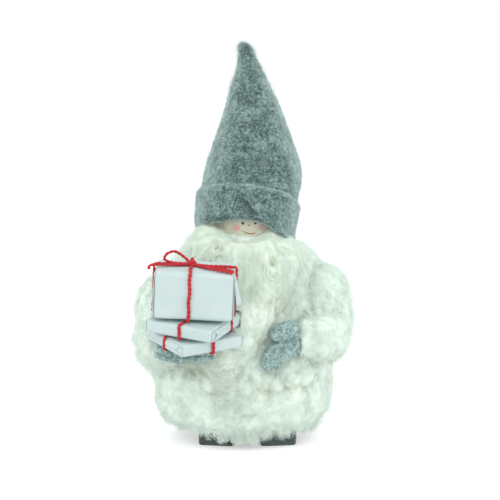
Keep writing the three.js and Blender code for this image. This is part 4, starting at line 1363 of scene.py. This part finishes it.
def locks(name, piece, count, length, rise, thick, seed, fall=0.35, keep=None, surface=None, apart=None):
    """Locks of wool that lie on a surface and curl along it, with their tips a little off it. keep says where
    they grow, and apart which of their points may stay."""
    at, faces = surface_of(piece)
    surface = surface or tree_from((at, faces))
    out_of = normals(piece)
    if keep:
        faces = faces[keep(at[faces].mean(axis=1))]
    root, chosen = spread(at, faces, count)
    out = out_of[faces[chosen, 0]]
    field = noises(root, 9, seed) + 0.45 * rng.normal(size=(count, 3))
    share, way = combed(root)
    lean = tangents(out, (field - (0, 0, fall)) * (1 - share) + 1.6 * way * share)
    side = np.cross(out, lean)
    share = share[:, 0]
    long = length * rng.uniform(0.65, 1.15, count) * (1 + 0.7 * share)
    bend = rng.normal(0, 0.2, count) * (1 - 0.75 * share)
    pick = np.repeat(np.arange(count), LOCK_HAIRS)
    total, steps = len(pick), 6
    t = np.linspace(0, 1, steps)[None]
    own = (long[pick] * rng.uniform(0.75, 1.1, total))[:, None]
    heading = (bend[pick][:, None] * own * t + rng.normal(0, 0.16, (total, 1))
               + rng.normal(0, 0.3, (total, 1)) * np.sin(t * rng.uniform(4, 9, (total, 1))))
    stride = own / (steps - 1)
    ahead, aside = (np.cumsum(part * stride, axis=1) - part[:, :1] * stride
                    for part in (np.cos(heading), np.sin(heading)))
    offset = rng.normal(0, 0.9, (total, 2))
    ahead += offset[:, :1]
    aside += offset[:, 1:] * (1 - 0.5 * t)
    lines = (root[pick][:, None] + lean[pick][:, None] * ahead[..., None]
             + side[pick][:, None] * aside[..., None])
    stand = rise * rng.uniform(0.15, 1.0, (total, 1)) * np.where(rng.random((total, 1)) < 0.2, 2.5, 1.0)
    lines = laid(surface, lines, stand * np.sin(t * rng.uniform(1.6, 2.6, (total, 1))) - 0.1)
    # Only the hairs of locks whose root is near enough to reach a rigid piece are looked at.
    reach = 14.0
    near = room(rigid_tree, root, reach)[pick] < reach
    free = lines[..., 2].min(axis=1) > 0.8
    checked = np.nonzero(near & free)[0]
    free[checked] = gaps(lines[checked]) > HAIR_GAP + 0.15
    for heart, radius, _ in CURLS:
        free &= np.linalg.norm(lines - heart, axis=2).min(axis=1) > radius * 0.6
    if apart:
        free &= apart(lines.reshape(-1, 3)).reshape(-1, steps).all(axis=1)
    wool = hairs(name, lines[free], thick)
    # Painted shade at the roots of the hairs and painted light at their tips, with the thin and shaded spots
    # painted darker too.
    tint = (0.75 + rng.normal(0, 0.15, count) - 0.7 * thin_wool_and_shade(root))[pick][free][:, None] + 0.15 * t
    add_attribute(wool, "crown", np.repeat(tint, 3, axis=1).ravel())
    return wool


rigid = surface_of_nodes(*RIGID)
coat = make_coat()
sleeves = {side: remeshed(f"{side}_fleece_sleeve", 0.75, f"{side}_sleeve", f"{side}_arm_wire")
           for side in SIGN}
beard = remeshed("fleece_beard", 0.7, "beard")
for soft in (*sleeves.values(), beard):
    soften(soft, 0.6, 5)
plain = {side: surface_of(sleeve) for side, sleeve in sleeves.items()}
plain_beard = surface_of(beard)
rigid_tree = tree_from(rigid)


def swung(surface, side, back=1):
    """Copies of a surface as it lies when an arm has swung by thirds of its range, or seen from that arm."""
    at, faces = surface
    heart = np.array((SIGN[side] * SHOULDER[0], SHOULDER[1], 0))
    for share in (1 / 3, 2 / 3, 1):
        spin = np.array(Matrix.Rotation(math.radians(SWINGS[side] * share * back), 3, "Z"))
        yield (at - heart) @ spin.T + heart, faces


by_body = tree_from(rigid, *(copy for side in SIGN for copy in (plain[side], *swung(plain[side], side))))
coat_at = places(coat)
x, y, z = coat_at.T
coat_at[:, 2] += 2.6 * smooth((-20 - x) / 8) * smooth((17 - z) / 9) * smooth((AXES_Y - y) / 9)
set_places(coat, coat_at)
# The coat's wool rises beside the beard, so that the beard has no edge.
beside_reach = 12.0
beside = smooth(1 - room(tree_from(plain_beard), coat_at, beside_reach) / beside_reach)
notch = np.exp(-(np.linalg.norm(coat_at - (38, AXES_Y - 4, 107), axis=1) / 9) ** 2)
fleece(coat, by_body, 100, 1.12, extra=4.2 * beside + 4.0 * notch)
beard_at = places(beard)
x, y, z = beard_at.T
high_beard = smooth((z - 112) / 10) * smooth((AXES_Y - y) / 10)
beard_at[:, 2] += high_beard * (1.5 * smooth((-13.5 - x) / 5) - 5.5 * smooth((x - 15) / 6))
set_places(beard, beard_at)
low_beard = smooth((78 - beard_at[:, 2]) / 25)
fleece(beard, by_body, 200, 0.62, 3.6, extra=0.1 - 1.3 * low_beard)
dress(coat, "body", "sheepskin", coat_wool, "coat")
dress(beard, "body", "beard_fleece", beard_wool, "beard")


def outer_sleeve(at):
    """Where a sleeve's wool is long: not inside the armhole."""
    x, y, z = at.T
    return ~((np.abs(x) < 38) & (z > 70) & (y > AXES_Y - 12))


coat_tree = tree_from(surface_of(coat))
wire_tree = tree_from(surface_of_nodes("shoulder_wire"))


def out_of_coat(side):
    """Whether wool on an arm, when it swings, stays off the shoulder wire and out of the wool on the coat's
    back."""
    coat_reach, wire_reach = 2.4, 1.6

    def check(at):
        free = (at[:, 1] < AXES_Y) | (room(coat_tree, at, coat_reach) < coat_reach)
        met = np.ones(len(at), dtype=bool)
        for turned, _ in swung((at, None), side):
            met &= free | (room(coat_tree, turned, coat_reach) == coat_reach)
            met &= room(wire_tree, turned, wire_reach) == wire_reach
        return met
    return check


for seed, (side, sleeve) in zip((300, 400), sleeves.items()):
    other = "left" if side == "right" else "right"
    at, faces = surface_of(coat)
    middle = at[faces].mean(axis=1)
    beside_arm = at, faces[(middle[:, 0] * SIGN[side] > 18) & (middle[:, 2] > 40)]
    around = tree_from(rigid, (at, faces), surface_of(beard), plain[other], *swung(beside_arm, side, -1))
    fleece(sleeve, around, seed, 1.12)
    dress(sleeve, f"{side}_arm", "sheepskin", coat_wool, f"{side}_sleeve")
    wool = locks(f"{side}_sleeve_locks", sleeve, LOCKS, 8, 2.2, 0.1, seed, keep=outer_sleeve,
                 apart=out_of_coat(side))
    dress(wool, f"{side}_arm", "sheepskin", coat_wool)


def shoulder(side):
    """The upper arm of a sleeve, which stays where it is when the arm swings."""
    at, faces = surface_of(sleeves[side])
    x, y, z = at[faces].mean(axis=1).T
    return at, faces[(np.hypot(x - SIGN[side] * SHOULDER[0], y - SHOULDER[1]) < 24.5) & (z > 66)]


worn = tree_from(surface_of(coat), surface_of(beard), shoulder("right"), shoulder("left"))
arms = tree_from(*(surface_of(piece) for piece in sleeves.values()))
swung_arms = tree_from(*(copy for side, piece in sleeves.items() for copy in swung(surface_of(piece), side)))


def out_of_swing(at):
    """Whether wool on the back stays out of the arms when they swing, unless it lies in them at rest."""
    reach = 1.6
    return (at[:, 1] < AXES_Y) | (room(arms, at, reach) < reach) | (room(swung_arms, at, reach) == reach)


def quarter(front, right):
    """Where one of the four pieces of the coat's locks grows."""
    return lambda at: ((at[:, 1] < AXES_Y - 4) == front) & ((at[:, 0] < 1) == right) & (at[:, 2] > 9)


QUARTERS = [(end, side) for end in ("front", "back") for side in SIGN]
for seed, (end, side) in zip((110, 120, 130, 140), QUARTERS):
    wool = locks(f"coat_{end}_{side}_locks", coat, LOCKS, 8, 2.2, 0.105, seed, surface=worn,
                 keep=quarter(end == "front", side == "right"), apart=out_of_swing)
    dress(wool, "body", "sheepskin", coat_wool)


def by_sleeve(side):
    """Where the coat meets a sleeve's upper arm in front and above."""
    tree = tree_from(surface_of(sleeves[side]))

    def near(at):
        x, y, z = at.T
        found = (x * SIGN[side] > 26) & (z > 70) & (y < AXES_Y + 12)
        found[found] = room(tree, at[found], 5.5) < 5.5
        return found
    return near


for side, seed in (("right", 150), ("left", 160)):
    wool = locks(f"{side}_seam_locks", coat, 240, 12, 2.4, 0.085, seed, 0.2, by_sleeve(side), worn)
    dress(wool, "body", "sheepskin", coat_wool)
dress(locks("beard_locks", beard, LOCKS, 9, 1.7, 0.1, 210, surface=worn), "body", "beard_fleece", beard_wool)


def long_locks(name, routes, each, width, high, thick, crimp=0.0, steps=18):
    """Combed or curled locks whose fibres follow routes over the chest, given by x and z."""
    lines = []
    t = np.linspace(0, 1, steps)
    for route in routes:
        path = spline(route, 60)
        want = t * gone_along(path)[-1]
        path = cut_at(path, want)
        way = unit(np.gradient(path, axis=0))
        aside = np.stack([way[:, 1], -way[:, 0]], axis=1)
        start = rng.uniform(0, 6)
        for _ in range(each):
            place = rng.normal(0, width)
            wave = crimp * np.sin(want * 2 * math.pi / 2.4 + start + 0.4 * place)
            spread_out = place * (0.6 + 0.4 * np.sin(t * math.pi)) + wave
            flat = path + aside * spread_out[:, None] + way * rng.normal(0, 0.8)
            lines.append(np.column_stack([flat[:, 0], np.full(steps, AXES_Y - 60.0), flat[:, 1]]))
    lines = np.array(lines)
    chest = tree_from(surface_of(coat), surface_of(beard))
    for point in lines.reshape(-1, 3):
        hit = chest.ray_cast(Vector(point), Vector((0, 1, 0)), 90.0)
        point[1] = hit[0].y if hit[0] is not None else AXES_Y - 20
    lines[..., 1] -= high * rng.uniform(0.1, 1.0, (len(lines), 1)) * (0.35 + 0.65 * np.sin(t * math.pi * 0.9))
    for _ in range(2):
        lines[:, 1:-1, 1] = 0.25 * lines[:, :-2, 1] + 0.5 * lines[:, 1:-1, 1] + 0.25 * lines[:, 2:, 1]
    lines = lines[gaps(lines) > HAIR_GAP]
    wool = hairs(name, lines, thick * np.append(np.full(steps - 4, 1), (0.9, 0.75, 0.6, 0.45)))
    add_attribute(wool, "crown", np.repeat(1.0 + rng.normal(0, 0.12, len(lines)), steps * 3))
    return wool


def ring_route(x, z, radius, start, turns):
    """A route that curls round a point, inwards."""
    count = 10
    angle = np.radians(start) + np.linspace(0, turns * 2 * math.pi, count)
    reach = radius * np.linspace(1.0, 0.75, count)
    return [(x + r * math.cos(a), z + r * math.sin(a)) for a, r in zip(angle, reach)]


chin = [[(x, 117.5), (x * 1.15 + 0.4, 109), (x * 1.3 - 0.5, 101), (x * 1.5 + 0.6, 94)]
        for x in (-6.5, -3.5, -0.5, 2.5, 5.5, 8.5)]
combs = [[(-15.5, 125), (-20, 119), (-26, 112), (-31, 104)],
         [(-12.5, 121), (-17, 116), (-21.5, 110), (-25, 103)],
         [(17.5, 124), (21, 117), (26, 111), (31, 104)], [(14.5, 120), (19, 114), (23, 107), (26, 99)]]
whirls = [ring_route(-13.2, 113.8, 3.4, 100, 1.25),
          [(9.5, 117), (11.5, 113), *ring_route(17.2, 105.8, 4.6, 140, 0.85)]]
crimped = [[(x, 56 - 2 * k % 5), (x + 0.8, 44), (x - 0.5, 32), (x + 0.4, 20 + k)]
           for k, x in enumerate((-15, -11.5, -8, -4.5, -1))]
for name, *facts in (("chin_locks", chin + combs, 12, 1.4, 2.0, 0.105),
                     ("curled_locks", whirls, 26, 0.7, 2.2, 0.11),
                     ("crimped_locks", crimped, 7, 1.6, 1.6, 0.1, 0.5, 44)):
    dress(long_locks(name, *facts), "body", "beard_fleece", beard_wool)


def make_hem_locks():
    """Locks that hang from the coat's lower edge, over and between the feet."""
    count, each, steps = 300, 9, 6
    at, faces = surface_of(coat)
    middle = at[faces].mean(axis=1)
    edge = (middle[:, 2] > 8) & (middle[:, 2] < 15) & (middle[:, 1] < AXES_Y - 12)
    faces, middle = faces[edge], middle[edge]
    root, chosen = spread(at, faces, count, 0.25 + np.exp(-((middle[:, 0] - 1) / 15) ** 2))
    out = unit(normals(coat)[faces[chosen, 0]] * (1, 1, 0.2))
    pick = np.repeat(np.arange(count), each)
    total = len(pick)
    t = np.linspace(0, 1, steps)[None]
    central = np.exp(-((root[:, 0] - 2) / 13) ** 2)
    long = (6.5 * rng.uniform(0.6, 1.0, count) * (0.55 + 0.6 * central))[pick][:, None]
    sway = rng.normal(0, 0.35, (count, 1))[pick] + rng.normal(0, 0.15, (total, 1))
    offset = rng.normal(0, 0.8, (total, 2))
    sway = sway * t + 0.16 * np.sin(t * 6 + rng.uniform(0, 6, (count, 1))[pick])
    x = root[pick, :1] + offset[:, :1] * (1 - 0.5 * t) + long * sway
    y = root[pick, 1:2] + out[pick, 1:2] * (0.3 + 1.6 * np.sin(t * 2.4))
    z = root[pick, 2:] + offset[:, 1:] - long * t ** 0.9
    lines = np.stack([x, y, np.maximum(z, 2.5 + rng.uniform(0, 3.0, (total, 1)))], axis=-1)
    lines = lines[gaps(lines) > HAIR_GAP]
    wool = hairs("hem_locks", lines, 0.085)
    add_attribute(wool, "crown", np.full(len(lines) * steps * 3, 0.95))
    return wool


dress(make_hem_locks(), "body", "sheepskin", coat_wool)


# ---- hat filling ----

filling = remeshed("hat_filling", 1.1, "hat_wadding")
soften(filling, 0.6, 4)
fill_wool = wool_finish("wool_wadding", (0.86, 0.87, 0.82), (0.62, 0.6, 0.5), 1.4)
at, out = places(filling), normals(filling)
set_places(filling, at + out * (0.2 * noise(at, 3, 9) - 0.2)[:, None])
add_attribute(filling, "crown", 0.6 + 0.3 * noise(at, 5, 8))
dress(filling, "hat_cap", "hat_filling", fill_wool, "hat_wadding")
